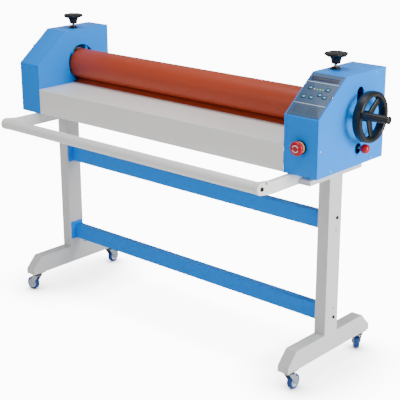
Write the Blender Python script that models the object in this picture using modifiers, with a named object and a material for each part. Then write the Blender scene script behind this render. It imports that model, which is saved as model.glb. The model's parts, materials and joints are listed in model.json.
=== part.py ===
"""Electric cold roll laminator on a wheeled stand: two rubber-covered rollers
between blue side housings, a feed table, a film bar on two arms and a T-legged
stand. Metres, +Z up, +X along the rollers, the operator stands at -Y."""

import math

import bmesh
import bpy
from mathutils import Matrix

# ---- driving dimensions -------------------------------------------------
GAP = 0.0003                    # clearance between pieces that touch

ROLLER_SPAN = 1.330             # clear width between the two housings
LEFT_HOUSING_W = 0.120
RIGHT_HOUSING_W = 0.147
HOUSING_DEPTH = 0.412
HOUSING_H = 0.339
HOUSING_FRONT_H = 0.211         # height of the upright part of the front
SLANT_RUN = 0.161               # how far back the sloping part reaches
SIDE_PLATE = 0.010
SHEET = 0.002
BASE_FLANGE = 0.008

UPPER_ROLLER_R = 0.065
LOWER_ROLLER_R = 0.055
RUBBER = 0.010                  # thickness of the silicone cover
CORE_WALL = 0.008
JOURNAL_R = 0.0175
VENT_R = 0.004                  # bore that vents the hollow core
ROLLER_Y = 0.043                # both rollers lie behind the middle
NIP_ABOVE_BASE = 0.122          # nip line above the underside of the housings
NIP_LIFT = 0.016                # how far the upper roller can be raised
ROLLER_SIDE_CLEARANCE = 0.009   # round the rollers, in the side plates

TABLE_ABOVE_BASE = 0.108
TABLE_REACH_UNDER = 0.004       # clearance from table edge to lower roller
TABLE_END_GAP = 0.001
TABLE_LIP = 0.018               # turned-in lower edge of each table's apron
TIE_H = 0.040
TIE_D = 0.030

LEFT_SCREW_INSET = 0.046        # pressure screw from the housing's inner face
RIGHT_SCREW_INSET = 0.036
BLOCK_T = 0.030
JOURNAL_STUB = 0.010            # left journals beyond their bearing blocks
BLOCK_W = 0.066
SCREW_END_ROOM = 0.002          # under the screw when the roller is fully raised
UPPER_BLOCK_BELOW = 0.038
UPPER_BLOCK_ABOVE = 0.066
LOWER_BLOCK_HALF = 0.036
RAIL_W = 0.015
BRIDGE_H = 0.013
SCREW_R = 0.006
SCREW_ENGAGED = 0.014
THRUST_COLLAR_R = 0.011
THRUST_COLLAR_H = 0.004
COLLAR_NUT_R = 0.0185
COLLAR_NUT_H = 0.009
KNOB_R = 0.044
KNOB_LOBES = 7
KNOB_LOBE_DEPTH = 0.006
KNOB_DISC_H = 0.013
KNOB_HUB_TOP_R = 0.021
KNOB_HUB_BOTTOM_R = 0.0155
KNOB_HUB_H = 0.028
KNOB_STEM = 0.011               # bare screw between collar nut and hub

WHEEL_TO_BALL = 0.0098          # handwheel's rim from the clutch ball under it
WHEEL_RIM_W = 0.019
WHEEL_RIM_DEPTH = 0.036
WHEEL_STANDOFF = 0.028          # rim's back from the end panel
WHEEL_DISH = 0.020              # hub's front behind the rim's front
WHEEL_HUB_R = 0.020
WHEEL_HUB_LENGTH = 0.026
WHEEL_BORE_R = 0.0105           # upper shaft's stepped end, inside the hub
WHEEL_BORE_DEPTH = 0.020
WHEEL_SPOKES = 3
WHEEL_SPOKE_W = 0.026
WHEEL_SPOKE_T = 0.008
CRANK_ANGLE = math.radians(164)
CRANK_LENGTH = 0.112
CRANK_R = 0.0145
CRANK_STUD_R = 0.004
CRANK_STUD_LENGTH = 0.086       # part of it inside the grip
CRANK_STUD_ROOT = 0.008         # part of it inside the rim
CRANK_STUD_PLAY = 0.004         # between its end and the grip's blind bore

CLUTCH_ROD_R = 0.006
CLUTCH_BALL_R = 0.0175
CLUTCH_STANDOFF = 0.030         # ball's centre from the end panel
CLUTCH_BORE = 0.040
CLUTCH_HOLE_R = 0.019           # round hole in the end panel
CLUTCH_HOLE_DROP = 0.004        # its middle below the lower roller's axis
SHAFT_SLOT_W = 0.040            # upper shaft's slot in the end panel
SHAFT_SLOT_ABOVE = 0.103
SHAFT_SLOT_BELOW = 0.040

SPROCKET_T = 0.006
ROLLER_SPROCKET_R = 0.038
ROLLER_SPROCKET_TEETH = 24
MOTOR_SPROCKET_R = 0.019
MOTOR_SPROCKET_TEETH = 12
CHAIN_T = 0.005
CHAIN_CLEARANCE = 0.001         # chain from the sprockets' tips
SPROCKET_CLEARANCE = 0.004      # sprockets from the bearing block and the motor
LOWER_SHAFT_STUB = 0.044        # lower shaft beyond its bearing block
MOTOR_Y = -0.105
MOTOR_ABOVE_BASE = 0.078
MOTOR_SIZE = 0.084
MOTOR_LENGTH = 0.070
MOTOR_FOOT_INSET = 0.010
MOTOR_SHAFT_R = 0.006
MOTOR_SHAFT_LENGTH = 0.036

STOP_HEAD_R = 0.026
STOP_HEAD_H = 0.016
STOP_STEM_R = 0.011
STOP_COLLAR_R = 0.026
STOP_COLLAR_H = 0.006
STOP_RING_R = 0.0225            # narrower ring in front of the collar
STOP_RING_H = 0.004
STOP_BODY = 0.036
STOP_TRAVEL = 0.005
STOP_ABOVE_BASE = 0.105

OVERLAY_T = 0.0012
OVERLAY_MARGIN = 0.005

INLET_W = 0.050
INLET_H = 0.070
INLET_DEPTH = 0.030
INLET_FLANGE = 0.003
INLET_ABOVE_BASE = 0.095
PLUG_W = 0.025
PLUG_H = 0.018
PLUG_DEPTH = 0.018
ROCKER_W = 0.024
ROCKER_H = 0.020
ROCKER_T = 0.007

COLUMN_W = 0.050
COLUMN_D = 0.080
COLUMN_H = 0.627
COLUMN_Y = 0.004
COLUMN_INSET = 0.036            # column's inner face outside the housing's
TUBE_WALL = 0.003
FOOT_H = 0.078
FOOT_LENGTH = 0.532
FOOT_CHAMFER_RUN = 0.050
FOOT_CHAMFER_DROP = 0.054
HEAD_BAR_H = 0.020
HEAD_BAR_LENGTH = 0.328
PAD_R = 0.014
PAD_H = 0.027
PAD_SPREAD = 0.260              # between front and rear pads

CROSSBAR_H = 0.065
CROSSBAR_D = 0.033
CROSSBAR_SETBACK = 0.002        # its front face forward of the machine's middle
CROSSBAR_PLATE_H = 0.080
CROSSBAR_PLATE_D = 0.066
CROSSBAR_PLATE_T = 0.004
LOWER_CROSSBAR_Z = 0.204
UPPER_CROSSBAR_Z = 0.578

ARM_H = 0.047
ARM_T = 0.020
ARM_TOP_GAP = 0.0015
ARM_REACH = 0.165               # film bar's axis in front of the housings
ARM_REAR = 0.043
ARM_NOSE_BLEND = 0.060          # length over which the arm rises to its nose
FILM_BAR_RISE = 0.008           # film bar's axis above the arm's middle line
FILM_BAR_R = 0.0222
FILM_BAR_WALL = 0.0025
FILM_PIN_R = 0.006
FILM_PIN_LENGTH = 0.022
FILM_PLUG = 0.012

CASTER_H = 0.088
CASTER_WHEEL_R = 0.030
CASTER_WHEEL_W = 0.022
CASTER_TREAD_ROUND = 0.004
CASTER_TRAIL = 0.028
CASTER_SPREAD = 0.452           # between front and rear swivel axes
CASTER_PLATE = (0.048, 0.062, 0.003)
CASTER_RACE_R = 0.020
CASTER_RACE_H = 0.009
CASTER_CROWN_R = 0.021
CASTER_CROWN_H = 0.004
CASTER_AXLE_R = 0.004
CASTER_EYE_R = 0.010            # rounded lower end of a fork cheek
FORK_T = 0.0025
FORK_HALF_W = 0.0145
CASTER_HEADINGS = {             # where each wheel trails at rest, degrees from +X
    "left_front": 188,
    "left_rear": 98,
    "right_front": 92,
    "right_rear": 132,
}

# ---- places worked out from them ----------------------------------------
HALF = ROLLER_SPAN / 2
FOOT_TOP = CASTER_H + FOOT_H
COLUMN_TOP = FOOT_TOP + COLUMN_H
HEAD_BAR_TOP = COLUMN_TOP + HEAD_BAR_H
BASE = HEAD_BAR_TOP + PAD_H
TOP = BASE + HOUSING_H
FRONT = -HOUSING_DEPTH / 2
REAR = HOUSING_DEPTH / 2
SLANT_TOP_Y = FRONT + SLANT_RUN
FRONT_TOP = BASE + HOUSING_FRONT_H
NIP_Z = BASE + NIP_ABOVE_BASE
UPPER_Z = NIP_Z + UPPER_ROLLER_R
LOWER_Z = NIP_Z - LOWER_ROLLER_R - GAP
TABLE_Z = BASE + TABLE_ABOVE_BASE
RIGHT_END = HALF + RIGHT_HOUSING_W
COLUMN_X = HALF + COLUMN_INSET + COLUMN_W / 2
BLOCK_HALF_W = BLOCK_W / 2
FILM_BAR_Y = FRONT - ARM_REACH
ARM_TOP = BASE - ARM_TOP_GAP
ARM_Z = ARM_TOP - ARM_H / 2
FILM_BAR_Z = ARM_Z + FILM_BAR_RISE
ARM_OUTER = HALF + COLUMN_INSET - GAP
ARM_FRONT = FILM_BAR_Y - ARM_H / 2
FOOT_REAR = COLUMN_Y + FOOT_LENGTH / 2
WHEEL_BACK = RIGHT_END + WHEEL_STANDOFF
WHEEL_FRONT = WHEEL_BACK + WHEEL_RIM_DEPTH
WHEEL_HUB_FRONT = WHEEL_FRONT - WHEEL_DISH
WHEEL_HUB_BACK = WHEEL_HUB_FRONT - WHEEL_HUB_LENGTH
CRANK_END = WHEEL_FRONT + GAP + CRANK_LENGTH
RIGHT_BLOCK_END = HALF + RIGHT_SCREW_INSET + BLOCK_T / 2
LOWER_SHAFT_END = RIGHT_BLOCK_END + LOWER_SHAFT_STUB
SPROCKET_X = RIGHT_BLOCK_END + SPROCKET_CLEARANCE + SPROCKET_T / 2
STOP_X = HALF + RIGHT_HOUSING_W / 2
WHEEL_R = UPPER_Z - LOWER_Z - CLUTCH_BALL_R - WHEEL_TO_BALL
CRANK_RADIUS = WHEEL_R - WHEEL_RIM_W / 2

REAR_SWIVEL_Y = COLUMN_Y + CASTER_SPREAD / 2


def wheel_reach(heading):
    """How far behind its swivel axis a caster wheel's tread stands."""
    angle = math.radians(heading)
    flat = CASTER_WHEEL_W / 2 - CASTER_TREAD_ROUND
    return (CASTER_TRAIL + CASTER_WHEEL_R) * math.sin(angle) + flat * abs(math.cos(angle))


LEFT_END = -HALF - LEFT_HOUSING_W
REARMOST = max(
    FOOT_REAR,
    REAR_SWIVEL_Y + wheel_reach(CASTER_HEADINGS["left_rear"]),
    REAR_SWIVEL_Y + wheel_reach(CASTER_HEADINGS["right_rear"]),
)
MIDDLE_X = (CRANK_END + LEFT_END) / 2
MIDDLE_Y = (ARM_FRONT + REARMOST) / 2

ALONG_X = (0, math.pi / 2, 0)
ALONG_Y = (-math.pi / 2, 0, 0)
ALONG_Z = (0, 0, 0)
PROFILE_TO_X = (math.pi / 2, 0, math.pi / 2)   # outline in Y and Z, depth along X
PROFILE_TO_Y = (math.pi / 2, 0, 0)             # outline in X and Z, depth along -Y
PROFILE_UP = (0, -math.pi / 2, 0)              # outline in Z and Y, depth along -X


# ---- scene, materials and helpers ---------------------------------------
for old in list(bpy.data.objects):
    bpy.data.objects.remove(old, do_unlink=True)

machine = bpy.data.collections.new("cold_roll_laminator")
tools = bpy.data.collections.new("cutters")
for collection in (machine, tools):
    bpy.context.scene.collection.children.link(collection)

origin = bpy.data.objects.new("machine_origin", None)
origin.location = (-MIDDLE_X, -MIDDLE_Y, 0)
machine.objects.link(origin)


def material(name, colour, roughness, metallic=0.0):
    mat = bpy.data.materials.new(name)
    mat.use_nodes = True
    shader = mat.node_tree.nodes["Principled BSDF"]
    shader.inputs["Base Color"].default_value = (*colour, 1)
    shader.inputs["Roughness"].default_value = roughness
    shader.inputs["Metallic"].default_value = metallic
    mat.diffuse_color = (*colour, 1)
    return mat


FINISHES = {
    "blue_paint": material("blue_paint", (0.005, 0.25, 0.66), 0.38),
    "grey_paint": material("grey_paint", (0.55, 0.55, 0.53), 0.45),
    "silicone": material("silicone", (0.42, 0.07, 0.025), 0.5),
    "steel": material("steel", (0.45, 0.45, 0.46), 0.35, 1.0),
    "zinc": material("zinc", (0.6, 0.62, 0.65), 0.3, 1.0),
    "black_plastic": material("black_plastic", (0.02, 0.02, 0.02), 0.4),
    "red_plastic": material("red_plastic", (0.6, 0.015, 0.02), 0.3),
    "overlay_film": material("overlay_film", (0.12, 0.2, 0.3), 0.35),
    "blue_tread": material("blue_tread", (0.0, 0.08, 0.3), 0.5),
    "rubber": material("rubber", (0.015, 0.015, 0.015), 0.7),
    "motor_paint": material("motor_paint", (0.1, 0.11, 0.12), 0.5),
}


def place(obj, location, rotation=ALONG_Z, parent=origin):
    obj.parent = parent
    obj.location = location
    obj.rotation_euler = rotation
    return obj


def finish(obj, finish_name, smooth=True):
    """Gives an object its material and joins it to the machine."""
    obj.data.materials.append(FINISHES[finish_name])
    if smooth:
        obj.data.shade_smooth()
        obj.data.set_sharp_from_angle(angle=math.radians(35))
    machine.objects.link(obj)
    return obj


def helper(obj):
    """A shape that is only joined to, or cut from, another piece."""
    obj.hide_render = True
    obj.display_type = "WIRE"
    tools.objects.link(obj)
    return obj


def boolean(obj, other, operation):
    modifier = obj.modifiers.new(f"{operation}_{other.name}", "BOOLEAN")
    modifier.operation = operation
    modifier.solver = "EXACT"
    modifier.object = other
    return obj


def cut(obj, *others):
    for other in others:
        boolean(obj, helper(other), "DIFFERENCE")
    return obj


def join(obj, *others):
    for other in others:
        boolean(obj, helper(other), "UNION")
    return obj


def box(name, low, high, parent=origin, rotation=ALONG_Z):
    """A block between two corners; its origin is its middle."""
    mesh = bpy.data.meshes.new(name)
    shape = bmesh.new()
    bmesh.ops.create_cube(shape, size=1)
    sides = [h - l for l, h in zip(low, high)]
    bmesh.ops.transform(shape, matrix=Matrix.Diagonal((*sides, 1)), verts=shape.verts)
    shape.to_mesh(mesh)
    shape.free()
    obj = bpy.data.objects.new(name, mesh)
    middle = [(l + h) / 2 for l, h in zip(low, high)]
    return place(obj, middle, rotation, parent)


def rod(name, radius, start, length, axis=ALONG_X, steps=24, parent=origin):
    """A plain round bar that runs from start along its axis."""
    mesh = bpy.data.meshes.new(name)
    shape = bmesh.new()
    bmesh.ops.create_cone(
        shape, cap_ends=True, segments=steps, radius1=radius, radius2=radius, depth=length
    )
    bmesh.ops.translate(shape, vec=(0, 0, length / 2), verts=shape.verts)
    shape.to_mesh(mesh)
    shape.free()
    return place(bpy.data.objects.new(name, mesh), start, axis, parent)


def turned(name, profile, start, axis=ALONG_Z, steps=32, closed=False, parent=origin):
    """A lathe-turned shape: (radius, height) points down the outer side."""
    mesh = bpy.data.meshes.new(name)
    count = len(profile)
    edges = [(i, i + 1) for i in range(count - 1)]
    if closed:
        edges.append((count - 1, 0))
    mesh.from_pydata([(r, 0, h) for r, h in profile], edges, [])
    obj = bpy.data.objects.new(name, mesh)
    spin = obj.modifiers.new("turn", "SCREW")
    spin.axis = "Z"
    spin.steps = steps
    spin.render_steps = steps
    spin.use_merge_vertices = True
    spin.merge_threshold = 0.00001
    return place(obj, start, axis, parent)


def outline(name, points, thickness, start, axis, parent=origin, open_sheet=False):
    """A flat outline given depth, or an open ribbon when open_sheet is set."""
    curve = bpy.data.curves.new(name, "CURVE")
    curve.dimensions = "2D"
    curve.fill_mode = "NONE" if open_sheet else "BOTH"
    curve.extrude = thickness / 2
    spline = curve.splines.new("POLY")
    spline.points.add(len(points) - 1)
    for point, (across, up) in zip(spline.points, points):
        point.co = (across, up, 0, 1)
    spline.use_cyclic_u = not open_sheet
    flat = bpy.data.objects.new(name + "_outline", curve)
    bpy.context.scene.collection.objects.link(flat)
    graph = bpy.context.evaluated_depsgraph_get()
    mesh = bpy.data.meshes.new_from_object(flat.evaluated_get(graph))
    bpy.data.objects.remove(flat, do_unlink=True)
    mesh.name = name
    shape = bmesh.new()
    shape.from_mesh(mesh)
    bmesh.ops.remove_doubles(shape, verts=shape.verts, dist=0.00001)
    shape.to_mesh(mesh)
    shape.free()
    return place(bpy.data.objects.new(name, mesh), start, axis, parent)


def arc(centre, radius, start, end, steps):
    """Points round a centre from one angle to another, in degrees."""
    angles = [math.radians(start + (end - start) * i / steps) for i in range(steps + 1)]
    return [
        (centre[0] + radius * math.cos(a), centre[1] + radius * math.sin(a)) for a in angles
    ]


def stadium(low, high, radius, steps=12):
    """An upright round-ended slot between two centre heights, about across = 0."""
    top = arc((0, high), radius, 0, 180, steps)
    return top + arc((0, low), radius, 180, 360, steps)


def bent_sheet(name, points, x_from, x_to, thickness):
    """Sheet metal folded along an outline in Y and Z, wall to the inside."""
    middle = ((x_from + x_to) / 2, 0, 0)
    sheet = outline(name, points, abs(x_to - x_from), middle, PROFILE_TO_X, open_sheet=True)
    wall = sheet.modifiers.new("wall", "SOLIDIFY")
    wall.thickness = thickness
    wall.offset = -1
    wall.use_even_offset = True
    return sheet


# ---- stand --------------------------------------------------------------
def foot_profile():
    """Side view of a foot: flat, with sloping ends and short upright tips."""
    half = FOOT_LENGTH / 2
    shoulder = half - FOOT_CHAMFER_RUN
    tip = FOOT_TOP - FOOT_CHAMFER_DROP
    rear = [(half, CASTER_H), (half, tip), (shoulder, FOOT_TOP)]
    front = [(-shoulder, FOOT_TOP), (-half, tip), (-half, CASTER_H)]
    return [(COLUMN_Y + y, z) for y, z in rear + front]


def leg(side, sign):
    """Column and foot welded into one hollow T, open at the column's top."""
    x = sign * COLUMN_X
    inner_w = COLUMN_W / 2 - TUBE_WALL
    inner_d = COLUMN_D / 2 - TUBE_WALL
    foot_inside = FOOT_LENGTH / 2 - FOOT_CHAMFER_RUN - TUBE_WALL
    piece = box(
        f"{side}_leg",
        (x - COLUMN_W / 2, COLUMN_Y - COLUMN_D / 2, CASTER_H + FOOT_H / 2),
        (x + COLUMN_W / 2, COLUMN_Y + COLUMN_D / 2, COLUMN_TOP - GAP),
    )
    join(piece, outline(f"{side}_foot", foot_profile(), COLUMN_W, (x, 0, 0), PROFILE_TO_X))
    cut(
        piece,
        box(
            f"{side}_foot_hollow",
            (x - inner_w, COLUMN_Y - foot_inside, CASTER_H + TUBE_WALL),
            (x + inner_w, COLUMN_Y + foot_inside, FOOT_TOP - TUBE_WALL),
        ),
        box(
            f"{side}_column_hollow",
            (x - inner_w, COLUMN_Y - inner_d, FOOT_TOP - 2 * TUBE_WALL),
            (x + inner_w, COLUMN_Y + inner_d, COLUMN_TOP + TUBE_WALL),
        ),
    )
    finish(piece, "grey_paint", smooth=False)


def head_bar(side, sign):
    """Flat bar on top of the column that carries the housing's pads."""
    x = sign * COLUMN_X
    bar = box(
        f"{side}_head_bar",
        (x - COLUMN_W / 2, COLUMN_Y - HEAD_BAR_LENGTH / 2, COLUMN_TOP),
        (x + COLUMN_W / 2, COLUMN_Y + HEAD_BAR_LENGTH / 2, HEAD_BAR_TOP - GAP),
    )
    finish(bar, "grey_paint", smooth=False)


def pads(side, sign):
    """Two short rubber spacers between head bar and housing."""
    for end, direction in (("front", -1), ("rear", 1)):
        y = COLUMN_Y + direction * PAD_SPREAD / 2
        start = (sign * COLUMN_X, y, HEAD_BAR_TOP)
        pad = rod(f"{side}_{end}_pad", PAD_R, start, PAD_H - GAP, ALONG_Z, steps=20)
        finish(pad, "rubber")


def crossbar(name, height):
    """Box-section rail with a bolting plate welded on each end."""
    reach = HALF + COLUMN_INSET - GAP
    front = -CROSSBAR_SETBACK
    wall = TUBE_WALL
    bar = box(
        name,
        (-reach + CROSSBAR_PLATE_T / 2, front, height),
        (reach - CROSSBAR_PLATE_T / 2, front + CROSSBAR_D, height + CROSSBAR_H),
    )
    for sign in (-1, 1):
        outer = sign * reach
        inner = sign * (reach - CROSSBAR_PLATE_T)
        plate = box(
            f"{name}_plate_{'left' if sign < 0 else 'right'}",
            (min(outer, inner), COLUMN_Y - CROSSBAR_PLATE_D / 2, height - wall / 2),
            (max(outer, inner), COLUMN_Y + CROSSBAR_PLATE_D / 2, height + CROSSBAR_PLATE_H),
        )
        join(bar, plate)
    hollow = box(
        f"{name}_hollow",
        (-reach - wall, front + wall, height + wall),
        (reach + wall, front + CROSSBAR_D - wall, height + CROSSBAR_H - wall),
    )
    finish(cut(bar, hollow), "blue_paint", smooth=False)


def arm(side, sign):
    """Flat arm that reaches forward and carries one end of the film bar."""
    half = ARM_H / 2
    blend = FILM_BAR_Y + ARM_NOSE_BLEND
    rear = [(blend, ARM_Z - half), (ARM_REAR, ARM_Z - half)]
    top = [(ARM_REAR, ARM_Z + half), (blend, ARM_Z + half)]
    profile = rear + top + arc((FILM_BAR_Y, FILM_BAR_Z), half, 90, 270, 12)
    x = sign * (ARM_OUTER - ARM_T / 2)
    piece = outline(f"{side}_arm", profile, ARM_T, (x, 0, 0), PROFILE_TO_X)
    inner = sign * (ARM_OUTER - ARM_T)
    outer = inner - sign * FILM_PIN_LENGTH
    start = (min(inner + sign * TUBE_WALL, outer), FILM_BAR_Y, FILM_BAR_Z)
    pin = rod(f"{side}_film_pin", FILM_PIN_R, start, FILM_PIN_LENGTH + TUBE_WALL)
    finish(join(piece, pin), "grey_paint", smooth=False)


def film_bar():
    """Tube with bored end plugs that turns on the arms' pins."""
    half = ARM_OUTER - ARM_T - 2 * GAP
    bore = FILM_PIN_R + GAP
    inside = FILM_BAR_R - FILM_BAR_WALL
    plug = half - FILM_PLUG
    profile = [
        (FILM_BAR_R, half), (FILM_BAR_R, -half), (bore, -half), (bore, -plug),
        (inside, -plug), (inside, plug), (bore, plug), (bore, half),
    ]
    start = (0, FILM_BAR_Y, FILM_BAR_Z)
    finish(turned("film_bar", profile, start, ALONG_X, 32, closed=True), "grey_paint")


# ---- casters ------------------------------------------------------------
def fork_leg_profile(crown_bottom):
    """Side view of one fork cheek, from the crown down to the axle's eye."""
    crown_half = CASTER_CROWN_R * 0.8
    eye = arc((CASTER_TRAIL, CASTER_WHEEL_R), CASTER_EYE_R, 20, -150, 8)
    return [(-crown_half, crown_bottom), (crown_half, crown_bottom)] + eye


def caster(corner, x, y):
    """Swivel caster: fixed plate with ball race, fork with axle, wheel."""
    top = CASTER_H - GAP
    wide, long, thick = CASTER_PLATE
    race_bottom = top - thick - CASTER_RACE_H
    plate = box(
        f"{corner}_caster_plate",
        (x - wide / 2, y - long / 2, top - thick),
        (x + wide / 2, y + long / 2, top),
    )
    race = rod(
        f"{corner}_race", CASTER_RACE_R, (x, y, race_bottom), CASTER_RACE_H + thick / 2, ALONG_Z
    )
    finish(join(plate, race), "zinc", smooth=False)

    swivel = bpy.data.objects.new(f"{corner}_swivel", None)
    place(swivel, (x, y, 0), (0, 0, math.radians(CASTER_HEADINGS[corner])))
    machine.objects.link(swivel)
    crown_top = race_bottom - GAP
    crown_bottom = crown_top - CASTER_CROWN_H
    fork = rod(
        f"{corner}_caster_fork", CASTER_CROWN_R, (0, 0, crown_bottom), CASTER_CROWN_H,
        ALONG_Z, parent=swivel,
    )
    profile = fork_leg_profile(crown_bottom + CASTER_CROWN_H / 2)
    for side, sign in (("a", -1), ("b", 1)):
        cheek = outline(
            f"{corner}_cheek_{side}", profile, FORK_T,
            (0, sign * FORK_HALF_W, 0), PROFILE_TO_Y, parent=swivel,
        )
        join(fork, cheek)
    axle_half = FORK_HALF_W + FORK_T
    axle = rod(
        f"{corner}_axle", CASTER_AXLE_R, (CASTER_TRAIL, -axle_half, CASTER_WHEEL_R),
        2 * axle_half, ALONG_Y, parent=swivel,
    )
    finish(join(fork, axle), "zinc", smooth=False)

    half = CASTER_WHEEL_W / 2
    bore = CASTER_AXLE_R + GAP
    shoulder = CASTER_WHEEL_R - CASTER_TREAD_ROUND
    flat = half - CASTER_TREAD_ROUND
    profile = [
        (bore, half), (shoulder, half), (CASTER_WHEEL_R, flat),
        (CASTER_WHEEL_R, -flat), (shoulder, -half), (bore, -half),
    ]
    wheel = turned(
        f"{corner}_caster_wheel", profile, (CASTER_TRAIL, 0, CASTER_WHEEL_R),
        ALONG_Y, 32, closed=True, parent=swivel,
    )
    finish(wheel, "blue_tread")


# ---- side housings ------------------------------------------------------
def housing_profile():
    return [
        (FRONT, BASE), (FRONT, FRONT_TOP), (SLANT_TOP_Y, TOP), (REAR, TOP), (REAR, BASE),
    ]


def roller_opening():
    """Where both rollers enter a side plate, with room for the lift."""
    clearance = ROLLER_SIDE_CLEARANCE
    upper_r = UPPER_ROLLER_R + clearance
    top_centre = UPPER_Z + NIP_LIFT - clearance + 0.003
    upper = stadium(UPPER_Z, top_centre, upper_r, 16)
    lower = stadium(LOWER_Z, LOWER_Z + 0.001, LOWER_ROLLER_R + clearance, 16)
    return upper, lower


def side_frame(side, sign, width, inset):
    """Thick inner side plate with block guides, top bridge and base flange."""
    inner = sign * HALF
    outer = sign * (HALF + SIDE_PLATE)
    x_mid = sign * (HALF + SIDE_PLATE / 2)
    frame = outline(
        f"{side}_side_frame", housing_profile(), SIDE_PLATE, (x_mid, 0, 0), PROFILE_TO_X
    )
    root = outer - sign * SIDE_PLATE / 2
    guide_out = sign * (HALF + inset + BLOCK_T / 2)
    flange_out = sign * (HALF + width - SHEET - GAP)
    seat_top = LOWER_Z - LOWER_BLOCK_HALF - GAP
    rail_top = TOP - SHEET - 2 * GAP
    inside = BLOCK_HALF_W + GAP
    outside = inside + RAIL_W
    for end, low, high in (("front", -outside, -inside), ("rear", inside, outside)):
        rail = box(
            f"{side}_{end}_rail",
            (min(root, guide_out), ROLLER_Y + low, seat_top - RAIL_W),
            (max(root, guide_out), ROLLER_Y + high, rail_top),
        )
        join(frame, rail)
    seat = box(
        f"{side}_seat",
        (min(root, guide_out), ROLLER_Y - inside - RAIL_W / 2, seat_top - RAIL_W),
        (max(root, guide_out), ROLLER_Y + inside + RAIL_W / 2, seat_top),
    )
    bridge = box(
        f"{side}_bridge",
        (min(root, guide_out), ROLLER_Y - inside - RAIL_W / 2, rail_top - BRIDGE_H),
        (max(root, guide_out), ROLLER_Y + inside + RAIL_W / 2, rail_top),
    )
    flange = box(
        f"{side}_flange",
        (min(root, flange_out), FRONT + SHEET + GAP, BASE),
        (max(root, flange_out), REAR - SHEET - GAP, BASE + BASE_FLANGE),
    )
    join(frame, seat, bridge, flange)
    openings = [
        outline(
            f"{side}_{name}_opening", points, 2 * SIDE_PLATE,
            (inner, ROLLER_Y, 0), PROFILE_TO_X,
        )
        for name, points in zip(("upper", "lower"), roller_opening())
    ]
    screw_hole = rod(
        f"{side}_bridge_hole", SCREW_R + GAP,
        (sign * (HALF + inset), ROLLER_Y, rail_top - 2 * BRIDGE_H), 3 * BRIDGE_H, ALONG_Z,
    )
    cut(frame, *openings, screw_hole)
    finish(frame, "blue_paint", smooth=False)


def cover(side, sign, width, inset):
    """Folded cover: front, slope, top and rear between plate and end panel."""
    near = sign * (HALF + SIDE_PLATE + GAP)
    far = sign * (HALF + width - SHEET - GAP)
    sheet = bent_sheet(f"{side}_cover", housing_profile(), min(near, far), max(near, far), SHEET)
    screw_hole = rod(
        f"{side}_cover_screw_hole", SCREW_R + 2 * SHEET,
        (sign * (HALF + inset), ROLLER_Y, TOP - 2 * SHEET), 4 * SHEET, ALONG_Z,
    )
    cut(sheet, screw_hole)
    if side == "right":
        stop_hole = rod(
            "stop_hole", STOP_STEM_R + 2 * GAP,
            (STOP_X, FRONT - SHEET, BASE + STOP_ABOVE_BASE), 3 * SHEET, ALONG_Y,
        )
        half_w = INLET_W / 2 - INLET_FLANGE
        half_h = INLET_H / 2 - INLET_FLANGE
        z = BASE + INLET_ABOVE_BASE
        inlet_hole = box(
            "inlet_hole",
            (STOP_X - half_w, REAR - 2 * SHEET, z - half_h),
            (STOP_X + half_w, REAR + SHEET, z + half_h),
        )
        cut(sheet, stop_hole, inlet_hole)
    finish(sheet, "blue_paint", smooth=False)


def end_panel(side, sign, width):
    """Flat outer panel, screwed on over the cover's edges."""
    x = sign * (HALF + width - SHEET / 2)
    panel = outline(f"{side}_end_panel", housing_profile(), SHEET, (x, 0, 0), PROFILE_TO_X)
    if side == "right":
        slot_r = SHAFT_SLOT_W / 2
        slot = stadium(
            UPPER_Z - SHAFT_SLOT_BELOW + slot_r, UPPER_Z + SHAFT_SLOT_ABOVE - slot_r, slot_r
        )
        clutch = arc((0, LOWER_Z - CLUTCH_HOLE_DROP), CLUTCH_HOLE_R, 0, 350, 35)
        for name, points in (("shaft_slot", slot), ("clutch_hole", clutch)):
            cut(panel, outline(name, points, 4 * SHEET, (x, ROLLER_Y, 0), PROFILE_TO_X))
    finish(panel, "blue_paint", smooth=False)


# ---- tables and tie -----------------------------------------------------
def table_edge():
    """Half the width the lower roller takes up at the tables' height."""
    rise = TABLE_Z - LOWER_Z
    return math.sqrt(LOWER_ROLLER_R ** 2 - rise ** 2) + TABLE_REACH_UNDER


def tables():
    """Folded feed table in front of the rollers and exit table behind them."""
    half = HALF - GAP
    edge = table_edge()
    front = [
        (FRONT + TABLE_LIP, BASE), (FRONT, BASE), (FRONT, TABLE_Z), (ROLLER_Y - edge, TABLE_Z),
    ]
    rear = [
        (ROLLER_Y + edge, TABLE_Z), (REAR, TABLE_Z), (REAR, BASE), (REAR - TABLE_LIP, BASE),
    ]
    finish(bent_sheet("feed_table", front, -half, half - TABLE_END_GAP, SHEET),
           "grey_paint", smooth=False)
    finish(bent_sheet("exit_table", rear, -half, half - TABLE_END_GAP, SHEET),
           "grey_paint", smooth=False)


def cross_tie():
    """Box rail under the feed table that holds the side plates apart."""
    half = HALF - GAP
    low_y = FRONT + 2 * TIE_D
    low_z = BASE + BASE_FLANGE
    bar = box(
        "cross_tie", (-half, low_y, low_z), (half, low_y + TIE_D, low_z + TIE_H)
    )
    hollow = box(
        "cross_tie_hollow",
        (-HALF, low_y + TUBE_WALL, low_z + TUBE_WALL),
        (HALF, low_y + TIE_D - TUBE_WALL, low_z + TIE_H - TUBE_WALL),
    )
    finish(cut(bar, hollow), "steel", smooth=False)


# ---- rollers ------------------------------------------------------------
def roller_sleeve(name, radius, z):
    """Silicone cover: a plain ring along the whole roller."""
    half = HALF + SIDE_PLATE / 2
    inside = radius - RUBBER
    profile = [(radius, half), (radius, -half), (inside, -half), (inside, half)]
    finish(turned(name, profile, (0, ROLLER_Y, z), ALONG_X, 48, closed=True), "silicone")


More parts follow.
